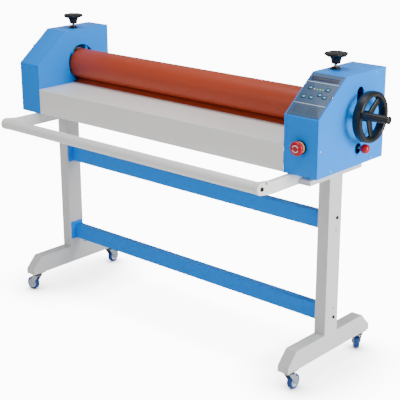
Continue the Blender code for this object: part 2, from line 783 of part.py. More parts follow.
def roller_core(name, radius, z, right_end, shaft_tip):
    """Hollow steel core with journals, vented through its left journal. The
    shaft tip lists the (radius, x) points from the axis out to the right end."""
    body = radius - RUBBER - GAP
    inside = body - CORE_WALL
    face = HALF + SIDE_PLATE / 2
    cavity = face - 2 * CORE_WALL
    left_end = -(HALF + LEFT_SCREW_INSET + BLOCK_T / 2 + JOURNAL_STUB)
    profile = shaft_tip + [
        (JOURNAL_R, right_end),
        (JOURNAL_R, face), (body, face), (body, -face), (JOURNAL_R, -face),
        (JOURNAL_R, left_end), (VENT_R, left_end), (VENT_R, -cavity),
        (inside, -cavity), (inside, cavity), (0, cavity),
    ]
    finish(turned(name, profile, (0, ROLLER_Y, z), ALONG_X, 48), "steel")


def stepped_tip():
    """Narrower end of the upper shaft, which the handwheel's hub fits over."""
    end = WHEEL_HUB_BACK + WHEEL_BORE_DEPTH - GAP
    return [(0, end), (WHEEL_BORE_R, end), (WHEEL_BORE_R, WHEEL_HUB_BACK - GAP)]


def bored_tip():
    """Bore in the lower shaft's end, in which the clutch rod slides."""
    bottom = LOWER_SHAFT_END - CLUTCH_BORE
    bore = CLUTCH_ROD_R + GAP
    return [(0, bottom), (bore, bottom), (bore, LOWER_SHAFT_END)]


def bearing_blocks(side, sign, inset):
    """Sliding block of the upper roller and fixed block of the lower one."""
    x = sign * (HALF + inset)
    half_t = BLOCK_T / 2
    blocks = (
        (f"{side}_upper_block", UPPER_Z, UPPER_BLOCK_BELOW, UPPER_BLOCK_ABOVE),
        (f"{side}_lower_block", LOWER_Z, LOWER_BLOCK_HALF, LOWER_BLOCK_HALF),
    )
    for name, z, below, above in blocks:
        block = box(
            name,
            (x - half_t, ROLLER_Y - BLOCK_HALF_W, z - below),
            (x + half_t, ROLLER_Y + BLOCK_HALF_W, z + above),
        )
        bore = rod(
            f"{name}_bore", JOURNAL_R + GAP, (x - BLOCK_T, ROLLER_Y, z), 2 * BLOCK_T, steps=48
        )
        cut(block, bore)
        if z == UPPER_Z:
            depth = SCREW_ENGAGED + NIP_LIFT + SCREW_END_ROOM
            thread = rod(
                f"{name}_thread", SCREW_R + GAP, (x, ROLLER_Y, z + above - depth),
                2 * depth, ALONG_Z,
            )
            cut(block, thread)
        finish(block, "steel", smooth=False)


# ---- pressure screws ----------------------------------------------------
def knob_outline():
    """A rounded star: the radius dips once between neighbouring lobes."""
    steps = KNOB_LOBES * 8
    points = []
    for i in range(steps):
        angle = 2 * math.pi * i / steps
        dip = (1 - math.cos(KNOB_LOBES * angle)) / 2
        radius = KNOB_R - KNOB_LOBE_DEPTH * dip ** 2
        points.append((radius * math.cos(angle), radius * math.sin(angle)))
    return points


def pressure_screw(side, sign, inset):
    """Collar nut on the cover, screw down to the block, star knob on top."""
    x = sign * (HALF + inset)
    here = (x, ROLLER_Y, 0)
    bore = SCREW_R + GAP
    nut_top = TOP + GAP + COLLAR_NUT_H
    nut = turned(
        f"{side}_collar_nut",
        [
            (bore, nut_top), (COLLAR_NUT_R * 0.7, nut_top), (COLLAR_NUT_R * 0.75, TOP + 0.004),
            (COLLAR_NUT_R, TOP + 0.004), (COLLAR_NUT_R, TOP + GAP), (bore, TOP + GAP),
        ],
        here, closed=True,
    )
    finish(nut, "black_plastic")

    hub_bottom = nut_top + KNOB_STEM
    hub_top = hub_bottom + KNOB_HUB_H
    screw_top = hub_bottom + KNOB_HUB_H * 0.6
    thrust_top = TOP - SHEET - 2 * GAP - BRIDGE_H - GAP
    screw_bottom = UPPER_Z + UPPER_BLOCK_ABOVE - SCREW_ENGAGED
    screw = turned(
        f"{side}_pressure_screw",
        [
            (0, screw_top), (SCREW_R, screw_top), (SCREW_R, thrust_top),
            (THRUST_COLLAR_R, thrust_top), (THRUST_COLLAR_R, thrust_top - THRUST_COLLAR_H),
            (SCREW_R, thrust_top - THRUST_COLLAR_H), (SCREW_R, screw_bottom), (0, screw_bottom),
        ],
        here, steps=24,
    )
    finish(screw, "steel")

    disc = outline(
        f"{side}_knob", knob_outline(), KNOB_DISC_H,
        (x, ROLLER_Y, hub_top + KNOB_DISC_H / 2), ALONG_Z,
    )
    hub = turned(
        f"{side}_knob_hub",
        [
            (0, hub_top + KNOB_DISC_H / 2), (KNOB_HUB_TOP_R, hub_top + KNOB_DISC_H / 2),
            (KNOB_HUB_TOP_R, hub_top), (KNOB_HUB_BOTTOM_R, hub_bottom), (0, hub_bottom),
        ],
        here, steps=28,
    )
    socket = rod(
        f"{side}_knob_socket", bore, (x, ROLLER_Y, hub_bottom - KNOB_STEM),
        KNOB_STEM + KNOB_HUB_H * 0.6 + 2 * GAP, ALONG_Z,
    )
    finish(cut(join(disc, hub), socket), "black_plastic", smooth=False)


# ---- handwheel ----------------------------------------------------------
def handwheel():
    """Dished three-spoke wheel on the upper shaft, with a stud for the crank."""
    inner = WHEEL_R - WHEEL_RIM_W
    depth = WHEEL_RIM_DEPTH
    round_off = 0.005
    at_shaft = (WHEEL_BACK, ROLLER_Y, UPPER_Z)
    rim = turned(
        "handwheel",
        [
            (inner + round_off, depth), (WHEEL_R - round_off, depth),
            (WHEEL_R, depth - round_off), (WHEEL_R, round_off), (WHEEL_R - round_off, 0),
            (inner + round_off, 0), (inner, round_off), (inner, depth - round_off),
        ],
        at_shaft, ALONG_X, 48, closed=True,
    )
    hub = rod(
        "wheel_hub", WHEEL_HUB_R, (WHEEL_HUB_BACK, ROLLER_Y, UPPER_Z), WHEEL_HUB_LENGTH, steps=32
    )
    join(rim, hub)
    for i in range(WHEEL_SPOKES):
        angle = CRANK_ANGLE + 2 * math.pi * i / WHEEL_SPOKES
        pivot = bpy.data.objects.new(f"spoke_{i}_pivot", None)
        place(pivot, (0, ROLLER_Y, UPPER_Z), (angle, 0, 0))
        tools.objects.link(pivot)
        spoke = box(
            f"spoke_{i}",
            (WHEEL_HUB_FRONT - WHEEL_SPOKE_T, WHEEL_HUB_R / 2, -WHEEL_SPOKE_W / 2),
            (WHEEL_HUB_FRONT, WHEEL_R - WHEEL_RIM_W / 2, WHEEL_SPOKE_W / 2),
            parent=pivot,
        )
        join(rim, spoke)
    y, z = crank_axis()
    stud = rod(
        "crank_stud", CRANK_STUD_R, (WHEEL_FRONT - CRANK_STUD_ROOT, y, z),
        CRANK_STUD_ROOT + CRANK_STUD_LENGTH, steps=16,
    )
    shaft_hole = rod(
        "wheel_bore", WHEEL_BORE_R + GAP, (WHEEL_HUB_BACK - GAP, ROLLER_Y, UPPER_Z),
        WHEEL_BORE_DEPTH + GAP, steps=48,
    )
    finish(cut(join(rim, stud), shaft_hole), "black_plastic", smooth=False)


def crank_axis():
    return (
        ROLLER_Y + CRANK_RADIUS * math.cos(CRANK_ANGLE),
        UPPER_Z + CRANK_RADIUS * math.sin(CRANK_ANGLE),
    )


def crank_handle():
    """Barrel-shaped grip that turns on the wheel's stud."""
    y, z = crank_axis()
    bore = CRANK_STUD_R + GAP
    length = CRANK_LENGTH
    belly = [
        (CRANK_R * (0.74 + 0.26 * math.sin(math.pi * (0.05 + 0.9 * t))), length * t)
        for t in (0.86, 0.7, 0.55, 0.4, 0.25, 0.1, 0)
    ]
    bore_end = CRANK_STUD_LENGTH + CRANK_STUD_PLAY
    cap = [(0, length), (CRANK_R * 0.7, length), (CRANK_R, length * 0.96), (CRANK_R, length * 0.9)]
    profile = cap + belly + [(bore, 0), (bore, bore_end), (0, bore_end)]
    grip = turned(
        "crank_handle", profile, (WHEEL_FRONT + GAP, y, z), ALONG_X, 20
    )
    finish(grip, "black_plastic")


# ---- drive --------------------------------------------------------------
def sprocket(name, y, z, radius, teeth):
    """Thin toothed disc; the outline dips once per tooth."""
    points = []
    for i in range(teeth * 2):
        r = radius if i % 2 else radius * (1 - 1.6 / teeth)
        angle = math.pi * i / teeth
        points.append((r * math.cos(angle), r * math.sin(angle)))
    return outline(name, points, SPROCKET_T, (SPROCKET_X, y, z), PROFILE_TO_X)


def belt_outline(large, small, distance):
    """Loop round two circles whose centres lie on one line."""
    lean = math.degrees(math.acos((large - small) / distance))
    far = arc((distance, 0), small, -lean, lean, 12)
    near = arc((0, 0), large, lean, 360 - lean, 20)
    return far + near


def drive():
    """Gear motor, its sprocket and shaft, the roller's sprocket and the chain."""
    motor_z = BASE + MOTOR_ABOVE_BASE
    driven = sprocket(
        "roller_sprocket", ROLLER_Y, LOWER_Z, ROLLER_SPROCKET_R, ROLLER_SPROCKET_TEETH
    )
    bore = rod(
        "roller_sprocket_bore", JOURNAL_R + GAP,
        (SPROCKET_X - SPROCKET_T, ROLLER_Y, LOWER_Z), 2 * SPROCKET_T, steps=32,
    )
    finish(cut(driven, bore), "steel", smooth=False)
    driving = sprocket(
        "motor_sprocket", MOTOR_Y, motor_z, MOTOR_SPROCKET_R, MOTOR_SPROCKET_TEETH
    )
    shaft_start = SPROCKET_X - SPROCKET_T
    shaft = rod(
        "motor_shaft", MOTOR_SHAFT_R, (shaft_start, MOTOR_Y, motor_z), MOTOR_SHAFT_LENGTH
    )
    finish(join(driving, shaft), "steel", smooth=False)

    across = MOTOR_Y - ROLLER_Y
    up = motor_z - LOWER_Z
    distance = math.hypot(across, up)
    turn = math.atan2(up, across)
    clear = CHAIN_CLEARANCE
    axis = bpy.data.objects.new("chain_plane", None)
    place(axis, (SPROCKET_X, ROLLER_Y, LOWER_Z), (turn, 0, 0))
    tools.objects.link(axis)
    loops = []
    for name, extra, depth in (
        ("drive_chain", clear + CHAIN_T, SPROCKET_T - 0.001), ("chain_inside", clear, 0.02)
    ):
        points = belt_outline(ROLLER_SPROCKET_R + extra, MOTOR_SPROCKET_R + extra, distance)
        loops.append(outline(name, points, depth, (0, 0, 0), PROFILE_TO_X, parent=axis))
    finish(cut(*loops), "steel", smooth=False)

    half = MOTOR_SIZE / 2
    near = SPROCKET_X + SPROCKET_T / 2 + SPROCKET_CLEARANCE
    body = box(
        "gear_motor",
        (near, MOTOR_Y - half, motor_z - half),
        (near + MOTOR_LENGTH, MOTOR_Y + half, motor_z + half),
    )
    stand = box(
        "motor_foot",
        (near + MOTOR_FOOT_INSET, MOTOR_Y - half, BASE + BASE_FLANGE + GAP),
        (near + MOTOR_LENGTH - MOTOR_FOOT_INSET, MOTOR_Y + half, motor_z - half / 2),
    )
    shaft_bore = rod(
        "motor_bore", MOTOR_SHAFT_R + GAP, (shaft_start, MOTOR_Y, motor_z),
        MOTOR_SHAFT_LENGTH + GAP,
    )
    finish(cut(join(body, stand), shaft_bore), "motor_paint", smooth=False)


def clutch():
    """Push-pull rod with a ball, sliding in the lower roller's shaft end."""
    ball_x = RIGHT_END + CLUTCH_STANDOFF
    inner = LOWER_SHAFT_END - CLUTCH_BORE + GAP
    length = ball_x - inner
    knob = bpy.data.meshes.new("clutch_rod")
    shape = bmesh.new()
    bmesh.ops.create_uvsphere(shape, u_segments=24, v_segments=14, radius=CLUTCH_BALL_R)
    shape.to_mesh(knob)
    shape.free()
    ball = bpy.data.objects.new("clutch_rod", knob)
    place(ball, (ball_x, ROLLER_Y, LOWER_Z), ALONG_X)
    stem = rod("clutch_stem", CLUTCH_ROD_R, (inner, ROLLER_Y, LOWER_Z), length)
    finish(join(ball, stem), "red_plastic")


# ---- controls -----------------------------------------------------------
def emergency_stop():
    """Fixed body with a collar on the panel, and a mushroom head that presses."""
    z = BASE + STOP_ABOVE_BASE
    bore = STOP_STEM_R * 0.6 + GAP
    step = -(STOP_COLLAR_H + GAP)
    face = step - STOP_RING_H
    body = turned(
        "stop_button_body",
        [
            (bore, STOP_BODY), (STOP_STEM_R, STOP_BODY), (STOP_STEM_R, -GAP),
            (STOP_COLLAR_R, -GAP), (STOP_COLLAR_R, step), (STOP_RING_R, step),
            (STOP_RING_R, face), (bore, face),
        ],
        (STOP_X, FRONT, z), ALONG_Y, 32, closed=True,
    )
    finish(body, "black_plastic")
    back = face - STOP_TRAVEL - GAP
    front = back - STOP_HEAD_H
    stem = STOP_STEM_R * 0.6
    head = turned(
        "stop_button_head",
        [
            (0, STOP_BODY - STOP_TRAVEL - 0.004), (stem, STOP_BODY - STOP_TRAVEL - 0.004),
            (stem, back), (STOP_HEAD_R * 0.9, back), (STOP_HEAD_R, back - 0.005),
            (STOP_HEAD_R, front + 0.004), (STOP_HEAD_R * 0.85, front), (0, front),
        ],
        (STOP_X, FRONT, z), ALONG_Y, 32,
    )
    finish(head, "red_plastic")


def overlay():
    """Control label with membrane keys on the right housing's slope."""
    rise = TOP - FRONT_TOP
    slope = math.atan2(rise, SLANT_RUN)
    length = math.hypot(rise, SLANT_RUN) - 2 * OVERLAY_MARGIN
    middle_y = (FRONT + SLANT_TOP_Y) / 2
    middle_z = (FRONT_TOP + TOP) / 2
    lift = OVERLAY_T / 2 + GAP
    low_x = HALF + OVERLAY_MARGIN
    high_x = RIGHT_END - OVERLAY_MARGIN
    plate = box(
        "control_overlay",
        (low_x, -length / 2, -OVERLAY_T / 2), (high_x, length / 2, OVERLAY_T / 2),
    )
    place(
        plate,
        (
            (low_x + high_x) / 2,
            middle_y - lift * math.sin(slope),
            middle_z + lift * math.cos(slope),
        ),
        (slope, 0, 0),
    )
    finish(plate, "overlay_film", smooth=False)


def power_inlet():
    """Mains inlet with a rocker switch, in one frame on the rear."""
    z = BASE + INLET_ABOVE_BASE
    body = box(
        "power_inlet",
        (STOP_X - INLET_W / 2, REAR + GAP, z - INLET_H / 2),
        (STOP_X + INLET_W / 2, REAR + GAP + INLET_FLANGE, z + INLET_H / 2),
    )
    inner_w = INLET_W / 2 - INLET_FLANGE - GAP
    inner_h = INLET_H / 2 - INLET_FLANGE - GAP
    tub = box(
        "inlet_tub",
        (STOP_X - inner_w, REAR - INLET_DEPTH, z - inner_h),
        (STOP_X + inner_w, REAR + INLET_FLANGE / 2, z + inner_h),
    )
    join(body, tub)
    rocker_z = z + INLET_H / 4
    pocket = box(
        "rocker_pocket",
        (STOP_X - ROCKER_W / 2 - GAP, REAR - 0.010, rocker_z - ROCKER_H / 2 - 0.001),
        (STOP_X + ROCKER_W / 2 + GAP, REAR + 0.010, rocker_z + ROCKER_H / 2 + 0.001),
    )
    plug_z = z - INLET_H / 4
    socket = box(
        "plug_socket",
        (STOP_X - PLUG_W / 2, REAR - PLUG_DEPTH, plug_z - PLUG_H / 2),
        (STOP_X + PLUG_W / 2, REAR + 2 * INLET_FLANGE, plug_z + PLUG_H / 2),
    )
    finish(cut(body, pocket, socket), "black_plastic", smooth=False)
    half_h = ROCKER_H / 2
    bow = [
        (-half_h, 0.0015), (-half_h, ROCKER_T), (0, ROCKER_T * 0.7), (half_h, ROCKER_T * 0.45),
        (half_h, 0.0015), (0, -0.003),
    ]
    rocker = outline(
        "rocker_switch", bow, ROCKER_W, (STOP_X, REAR, rocker_z), PROFILE_UP
    )
    finish(rocker, "red_plastic", smooth=False)


# ---- assembly -----------------------------------------------------------
for side_name, side_sign in (("left", -1), ("right", 1)):
    leg(side_name, side_sign)
    head_bar(side_name, side_sign)
    pads(side_name, side_sign)
    arm(side_name, side_sign)
    for end_name, end_sign in (("front", -1), ("rear", 1)):
        caster(
            f"{side_name}_{end_name}",
            side_sign * COLUMN_X,
            COLUMN_Y + end_sign * CASTER_SPREAD / 2,
        )
crossbar("upper_crossbar", UPPER_CROSSBAR_Z)
crossbar("lower_crossbar", LOWER_CROSSBAR_Z)
film_bar()

for side_name, side_sign, housing_w, screw_inset in (
    ("left", -1, LEFT_HOUSING_W, LEFT_SCREW_INSET),
    ("right", 1, RIGHT_HOUSING_W, RIGHT_SCREW_INSET),
):
    side_frame(side_name, side_sign, housing_w, screw_inset)
    cover(side_name, side_sign, housing_w, screw_inset)
    end_panel(side_name, side_sign, housing_w)
    bearing_blocks(side_name, side_sign, screw_inset)
    pressure_screw(side_name, side_sign, screw_inset)

tables()
cross_tie()
roller_sleeve("upper_roller_sleeve", UPPER_ROLLER_R, UPPER_Z)
roller_sleeve("lower_roller_sleeve", LOWER_ROLLER_R, LOWER_Z)
roller_core("upper_roller_core", UPPER_ROLLER_R, UPPER_Z, WHEEL_HUB_BACK - GAP, stepped_tip())
roller_core("lower_roller_core", LOWER_ROLLER_R, LOWER_Z, LOWER_SHAFT_END, bored_tip())
handwheel()
crank_handle()
drive()
clutch()
emergency_stop()
overlay()
power_inlet()
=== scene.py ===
# %% [markdown]
# # Cold roll laminator
# Two silicone-covered rollers press a film onto a print. They run between blue
# sheet-metal housings on a grey T-legged stand with casters. Every size below is
# read from the CAD frame, so that the finished surfaces stay on the parts that
# the joints move.

# %% Load the frame
import json
import math

import bmesh
import bpy
import numpy as np
from mathutils import Matrix, Vector


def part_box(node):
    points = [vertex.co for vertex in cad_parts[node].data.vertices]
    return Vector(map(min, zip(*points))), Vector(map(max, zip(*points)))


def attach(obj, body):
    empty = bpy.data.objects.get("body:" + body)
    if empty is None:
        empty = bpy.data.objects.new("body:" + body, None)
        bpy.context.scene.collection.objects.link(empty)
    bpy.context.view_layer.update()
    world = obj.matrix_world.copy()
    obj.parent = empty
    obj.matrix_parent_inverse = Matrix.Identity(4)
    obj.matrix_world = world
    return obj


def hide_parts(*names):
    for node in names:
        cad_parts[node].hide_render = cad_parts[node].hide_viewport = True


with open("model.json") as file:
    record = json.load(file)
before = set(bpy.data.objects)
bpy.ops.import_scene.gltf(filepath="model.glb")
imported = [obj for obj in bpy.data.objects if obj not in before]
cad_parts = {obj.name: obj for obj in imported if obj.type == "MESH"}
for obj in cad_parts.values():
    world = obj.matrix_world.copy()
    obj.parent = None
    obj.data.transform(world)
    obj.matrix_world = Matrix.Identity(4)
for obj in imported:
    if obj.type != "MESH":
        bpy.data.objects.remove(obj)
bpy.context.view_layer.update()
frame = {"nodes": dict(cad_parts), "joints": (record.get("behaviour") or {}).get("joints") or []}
nodes = frame["nodes"]
X_AXIS, Y_AXIS, Z_AXIS = np.eye(3)


def corners(name):
    """The lowest and highest corner of a CAD node's box."""
    low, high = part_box(name)
    return np.array(low), np.array(high)


def middle(name):
    low, high = corners(name)
    return (low + high) / 2


def outer_face(name, sign):
    """Where a piece ends along X, on the side that sign points to."""
    low, high = corners(name)
    return high[0] if sign > 0 else low[0]


SIDES = (("left", -1), ("right", 1))


# %% [markdown]
# ## Finishes
# All surfaces share two node groups. One gives grain and a slow change of tone,
# with a stretch for turned or brushed metal. The other settles a little dust on
# faces that look up. A texture reads object coordinates, which are metres here.

# %% Node groups
def new_group(name, inputs, outputs):
    group = bpy.data.node_groups.new(name, "ShaderNodeTree")
    for socket, kind in inputs:
        group.interface.new_socket(socket, in_out="INPUT", socket_type=kind)
    for socket, kind in outputs:
        group.interface.new_socket(socket, in_out="OUTPUT", socket_type=kind)
    enter = group.nodes.new("NodeGroupInput")
    leave = group.nodes.new("NodeGroupOutput")
    return group, enter.outputs, leave.inputs


def node(group, kind, inputs=(), **settings):
    """Adds a node; inputs are pairs of a socket and a value or another socket."""
    made = group.nodes.new(kind)
    for key, value in settings.items():
        setattr(made, key, value)
    for socket, value in inputs:
        if isinstance(value, bpy.types.NodeSocket):
            group.links.new(value, made.inputs[socket])
        else:
            made.inputs[socket].default_value = value
    return made


def grain_group():
    group, given, out = new_group(
        "grain_and_tone",
        [
            ("Color", "NodeSocketColor"), ("Roughness", "NodeSocketFloat"),
            ("Stretch", "NodeSocketVector"), ("Grain", "NodeSocketFloat"),
            ("Tone", "NodeSocketFloat"),
        ],
        [
            ("Color", "NodeSocketColor"), ("Roughness", "NodeSocketFloat"),
            ("Normal", "NodeSocketVector"),
        ],
    )
    place = node(group, "ShaderNodeTexCoord").outputs["Object"]
    stretched = node(
        group, "ShaderNodeVectorMath", [(0, place), (1, given["Stretch"])], operation="MULTIPLY"
    )
    fine = node(
        group, "ShaderNodeTexNoise",
        [("Vector", stretched.outputs[0]), ("Scale", 1.0), ("Detail", 3.0)],
    )
    broad = node(
        group, "ShaderNodeTexNoise", [("Vector", place), ("Scale", 7.0), ("Detail", 2.0)]
    )
    swing = node(
        group, "ShaderNodeMath", [(0, broad.outputs[0]), (1, 0.5)], operation="SUBTRACT"
    )
    tone = node(
        group, "ShaderNodeMath", [(0, swing.outputs[0]), (1, given["Tone"]), (2, 1.0)],
        operation="MULTIPLY_ADD",
    )
    toned = node(
        group, "ShaderNodeVectorMath", [(0, given["Color"]), ("Scale", tone.outputs[0])],
        operation="SCALE",
    )
    ripple = node(
        group, "ShaderNodeMath", [(0, fine.outputs[0]), (1, 0.5)], operation="SUBTRACT"
    )
    rough = node(
        group, "ShaderNodeMath",
        [(0, ripple.outputs[0]), (1, given["Grain"]), (2, given["Roughness"])],
        operation="MULTIPLY_ADD", use_clamp=True,
    )
    bump = node(
        group, "ShaderNodeBump",
        [("Height", fine.outputs[0]), ("Strength", given["Grain"]), ("Distance", 0.0006)],
    )
    group.links.new(toned.outputs[0], out["Color"])
    group.links.new(rough.outputs[0], out["Roughness"])
    group.links.new(bump.outputs[0], out["Normal"])
    return group


def dust_group():
    group, given, out = new_group(
        "settled_dust",
        [
            ("Color", "NodeSocketColor"), ("Roughness", "NodeSocketFloat"),
            ("Amount", "NodeSocketFloat"),
        ],
        [("Color", "NodeSocketColor"), ("Roughness", "NodeSocketFloat")],
    )
    facing = node(group, "ShaderNodeNewGeometry").outputs["Normal"]
    height = node(group, "ShaderNodeSeparateXYZ", [(0, facing)])
    upward = node(
        group, "ShaderNodeMapRange",
        [("Value", height.outputs["Z"]), ("From Min", 0.5), ("From Max", 1.0)],
    )
    place = node(group, "ShaderNodeTexCoord").outputs["Object"]
    specks = node(
        group, "ShaderNodeTexNoise", [("Vector", place), ("Scale", 60.0), ("Detail", 5.0)]
    )
    lying = node(
        group, "ShaderNodeMath", [(0, upward.outputs[0]), (1, specks.outputs[0])],
        operation="MULTIPLY",
    )
    amount = node(
        group, "ShaderNodeMath", [(0, lying.outputs[0]), (1, given["Amount"])],
        operation="MULTIPLY",
    )
    colour = node(
        group, "ShaderNodeMix",
        [("Factor", amount.outputs[0]), (6, given["Color"]), (7, (0.5, 0.48, 0.45, 1))],
        data_type="RGBA",
    )
    rough = node(
        group, "ShaderNodeMath", [(0, given["Roughness"]), (1, amount.outputs[0])],
        operation="ADD", use_clamp=True,
    )
    group.links.new(colour.outputs[2], out["Color"])
    group.links.new(rough.outputs[0], out["Roughness"])
    return group


GRAIN = grain_group()
DUST = dust_group()


# %% Materials
def linear(colour):
    """Display values from 0 to 255 as linear light."""
    c = np.array(colour) / 255
    return np.where(c <= 0.04045, c / 12.92, ((c + 0.055) / 1.055) ** 2.4).tolist()


def use_group(tree, group, inputs):
    """A node that runs a group; inputs are pairs as for node()."""
    made = tree.nodes.new("ShaderNodeGroup")
    made.node_tree = group
    for socket, value in inputs:
        if isinstance(value, bpy.types.NodeSocket):
            tree.links.new(value, made.inputs[socket])
        else:
            made.inputs[socket].default_value = value
    return made.outputs


def material(name, colour, roughness, stretch=500, grain=0.05, tone=0.08, dust=0.0, **direct):
    mat = bpy.data.materials.new(name)
    mat.use_nodes = True
    tree = mat.node_tree
    shader = tree.nodes["Principled BSDF"]
    base = (*linear(colour), 1)
    stretch = (stretch,) * 3 if np.isscalar(stretch) else stretch
    grained = use_group(
        tree, GRAIN,
        [("Color", base), ("Roughness", roughness), ("Stretch", stretch),
         ("Grain", grain), ("Tone", tone)],
    )
    dusted = use_group(
        tree, DUST,
        [("Color", grained["Color"]), ("Roughness", grained["Roughness"]), ("Amount", dust)],
    )
    tree.links.new(dusted["Color"], shader.inputs["Base Color"])
    tree.links.new(dusted["Roughness"], shader.inputs["Roughness"])
    tree.links.new(grained["Normal"], shader.inputs["Normal"])
    for key, value in direct.items():
        shader.inputs[key.replace("_", " ")].default_value = value
    mat.diffuse_color = base
    return mat


ORANGE_PEEL = 420           # bumps per metre in powder coat
SPUN = (900, 40, 40)        # grain of a part ground while it turned about X
FINISH = {
    "blue_paint": material(
        "blue_paint", (0, 136, 240), 0.38, ORANGE_PEEL, 0.05, 0.04, Specular_IOR_Level=0.12
    ),
    "grey_paint": material("grey_paint", (212, 212, 210), 0.42, ORANGE_PEEL, 0.06, 0.05, 0.05),
    "table_paint": material("table_paint", (242, 240, 236), 0.3, ORANGE_PEEL, 0.04, 0.04, 0.03),
    "tube_paint": material("tube_paint", (240, 240, 238), 0.35, ORANGE_PEEL, 0.04, 0.03, 0.03),
    "silicone": material(
        "silicone", (170, 64, 36), 0.46, SPUN, 0.12, 0.12, 0.01, Specular_IOR_Level=0.3
    ),
    "steel": material("steel", (190, 190, 192), 0.3, SPUN, 0.1, 0.08, 0.05, Metallic=1.0),
    "bright_steel": material(
        "bright_steel", (215, 216, 220), 0.22, 300, 0.04, 0.05, Metallic=1.0
    ),
    "zinc": material("zinc", (176, 184, 192), 0.34, 260, 0.08, 0.14, 0.02, Metallic=0.9),
    # Zinc darkened as painted shade: the caster top plates and races stand in for the shadow line
    # under the feet
    "zinc_with_painted_shade": material("zinc_with_painted_shade", (92, 94, 98), 0.4, 260, 0.08, 0.14, 0.02, Metallic=0.8),
    "black_plastic": material(
        "black_plastic", (15, 15, 16), 0.42, 900, 0.06, 0.1, Specular_IOR_Level=0.35
    ),
    "black_oxide": material("black_oxide", (30, 30, 32), 0.4, 600, 0.08, 0.1, Metallic=0.6),
    "red_plastic": material(
        "red_plastic", (176, 0, 26), 0.26, 700, 0.03, 0.05, Specular_IOR_Level=0.4
    ),
    "cream_plastic": material("cream_plastic", (226, 206, 160), 0.4, 700, 0.03, 0.05),
    "overlay_film": material(
        "overlay_film", (66, 92, 122), 0.4, 1200, 0.1, 0.05, Specular_IOR_Level=0.25
    ),
    "overlay_dark": material(
        "overlay_dark", (26, 42, 82), 0.4, 1200, 0.08, 0.05, Specular_IOR_Level=0.25
    ),
    "print_cyan": material("print_cyan", (60, 190, 215), 0.45, 1200, 0.05, 0.03),
    "print_white": material("print_white", (225, 232, 238), 0.45, 1200, 0.05, 0.03),
    "print_black": material("print_black", (38, 46, 60), 0.45, 1200, 0.05, 0.03),
    "lamp_green": material(
        "lamp_green", (90, 205, 110), 0.2, 800, 0.02, 0.02, Coat_Weight=0.5
    ),
    "lamp_amber": material(
        "lamp_amber", (235, 200, 90), 0.2, 800, 0.02, 0.02, Coat_Weight=0.5
    ),
    "blue_tread": material("blue_tread", (0, 58, 130), 0.42, 500, 0.06, 0.1, 0.02),
    "caster_core": material("caster_core", (196, 206, 216), 0.4, 500, 0.04, 0.05, 0.02),
    "rubber": material("rubber", (24, 24, 24), 0.6, 500, 0.1, 0.1, 0.03),
    "motor_paint": material("motor_paint", (70, 72, 75), 0.45, ORANGE_PEEL, 0.08, 0.06, 0.08),
}
print(len(FINISH), "finishes")

# %% [markdown]
# ## Surfaces
# A piece is a grid of points that closes into a skin. The grid comes from stacked
# outlines, as for a turned or moulded part, or from a section carried along a
# path, as for folded sheet and spokes. Corners are rounded in the outline itself.


# %% Surface helpers
def rounded(points, reach, closed=False, steps=4):
    """Each corner becomes a curve that leaves its two sides a given reach away:
    start*(1-t)^2 + corner*2t(1-t) + end*t^2, with t from 0 to 1."""
    points = np.asarray(points, float)
    back = np.roll(points, 1, 0) - points
    ahead = np.roll(points, -1, 0) - points
    back_length = np.linalg.norm(back, axis=1, keepdims=True)
    ahead_length = np.linalg.norm(ahead, axis=1, keepdims=True)
    cut = np.minimum(reach, 0.48 * np.minimum(back_length, ahead_length))
    start = points + back / back_length * cut
    end = points + ahead / ahead_length * cut
    t = np.linspace(0, 1, steps + 1)[None, :, None]
    curves = (
        (1 - t) ** 2 * start[:, None] + 2 * t * (1 - t) * points[:, None] + t**2 * end[:, None]
    )
    if closed:
        return curves.reshape(-1, points.shape[1])
    inner = curves[1:-1].reshape(-1, points.shape[1])
    return np.concatenate([points[:1], inner, points[-1:]])


def show(name, mesh, finish, body, stands_for, smooth):
    mesh.materials.append(FINISH[finish])
    mesh.shade_smooth()
    mesh.set_sharp_from_angle(angle=math.radians(smooth))
    obj = bpy.data.objects.new(name, mesh)
    bpy.context.scene.collection.objects.link(obj)
    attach(obj, body)
    if stands_for:
        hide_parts(*stands_for)
    return obj


def skin(name, points, finish, body, stands_for=(), loop=False, smooth=38):
    """Shows a grid of points (rows, columns, 3). Columns wrap round, rows too
    where loop is set, and a row of equal points closes as a pole."""
    rows, columns = points.shape[:2]
    index = np.arange(rows * columns).reshape(rows, columns)
    index = np.hstack([index, index[:, :1]])
    if loop:
        index = np.vstack([index, index[:1]])
    quads = np.stack(
        [index[:-1, :-1], index[1:, :-1], index[1:, 1:], index[:-1, 1:]], -1
    ).reshape(-1, 4)
    flat = points.reshape(-1, 3)
    _, first, same = np.unique(
        np.round(flat, 6), axis=0, return_index=True, return_inverse=True
    )
    quads = same.reshape(-1)[quads]
    repeated = quads == np.roll(quads, -1, 1)
    count = repeated.sum(1)
    bent = quads[count == 1]
    thirds = bent[~repeated[count == 1]].reshape(-1, 3)
    mesh = bpy.data.meshes.new(name)
    mesh.from_pydata(flat[first].tolist(), [], quads[count == 0].tolist() + thirds.tolist())
    shape = bmesh.new()
    shape.from_mesh(mesh)
    bmesh.ops.recalc_face_normals(shape, faces=shape.faces)
    shape.to_mesh(mesh)
    shape.free()
    return show(name, mesh, finish, body, stands_for, smooth)


def across_and_up(axis):
    """Two directions square to an axis, the second as near to upright as it can be."""
    axis = np.asarray(axis, float)
    other = Y_AXIS if abs(axis[2]) > 0.9 else Z_AXIS
    across = np.cross(other, axis)
    across /= np.linalg.norm(across)
    return across, np.cross(axis, across)


def stacked(outlines, heights, centre, axis):
    """Outlines (rows, columns, 2) square to the axis, one at each height."""
    across, up = across_and_up(axis)
    flat = outlines[..., :1] * across + outlines[..., 1:] * up
    return np.asarray(centre) + flat + np.asarray(heights)[:, None, None] * np.asarray(axis)


def circle(steps):
    angle = np.linspace(0, 2 * np.pi, steps, endpoint=False)
    return np.stack([np.cos(angle), np.sin(angle)], -1)


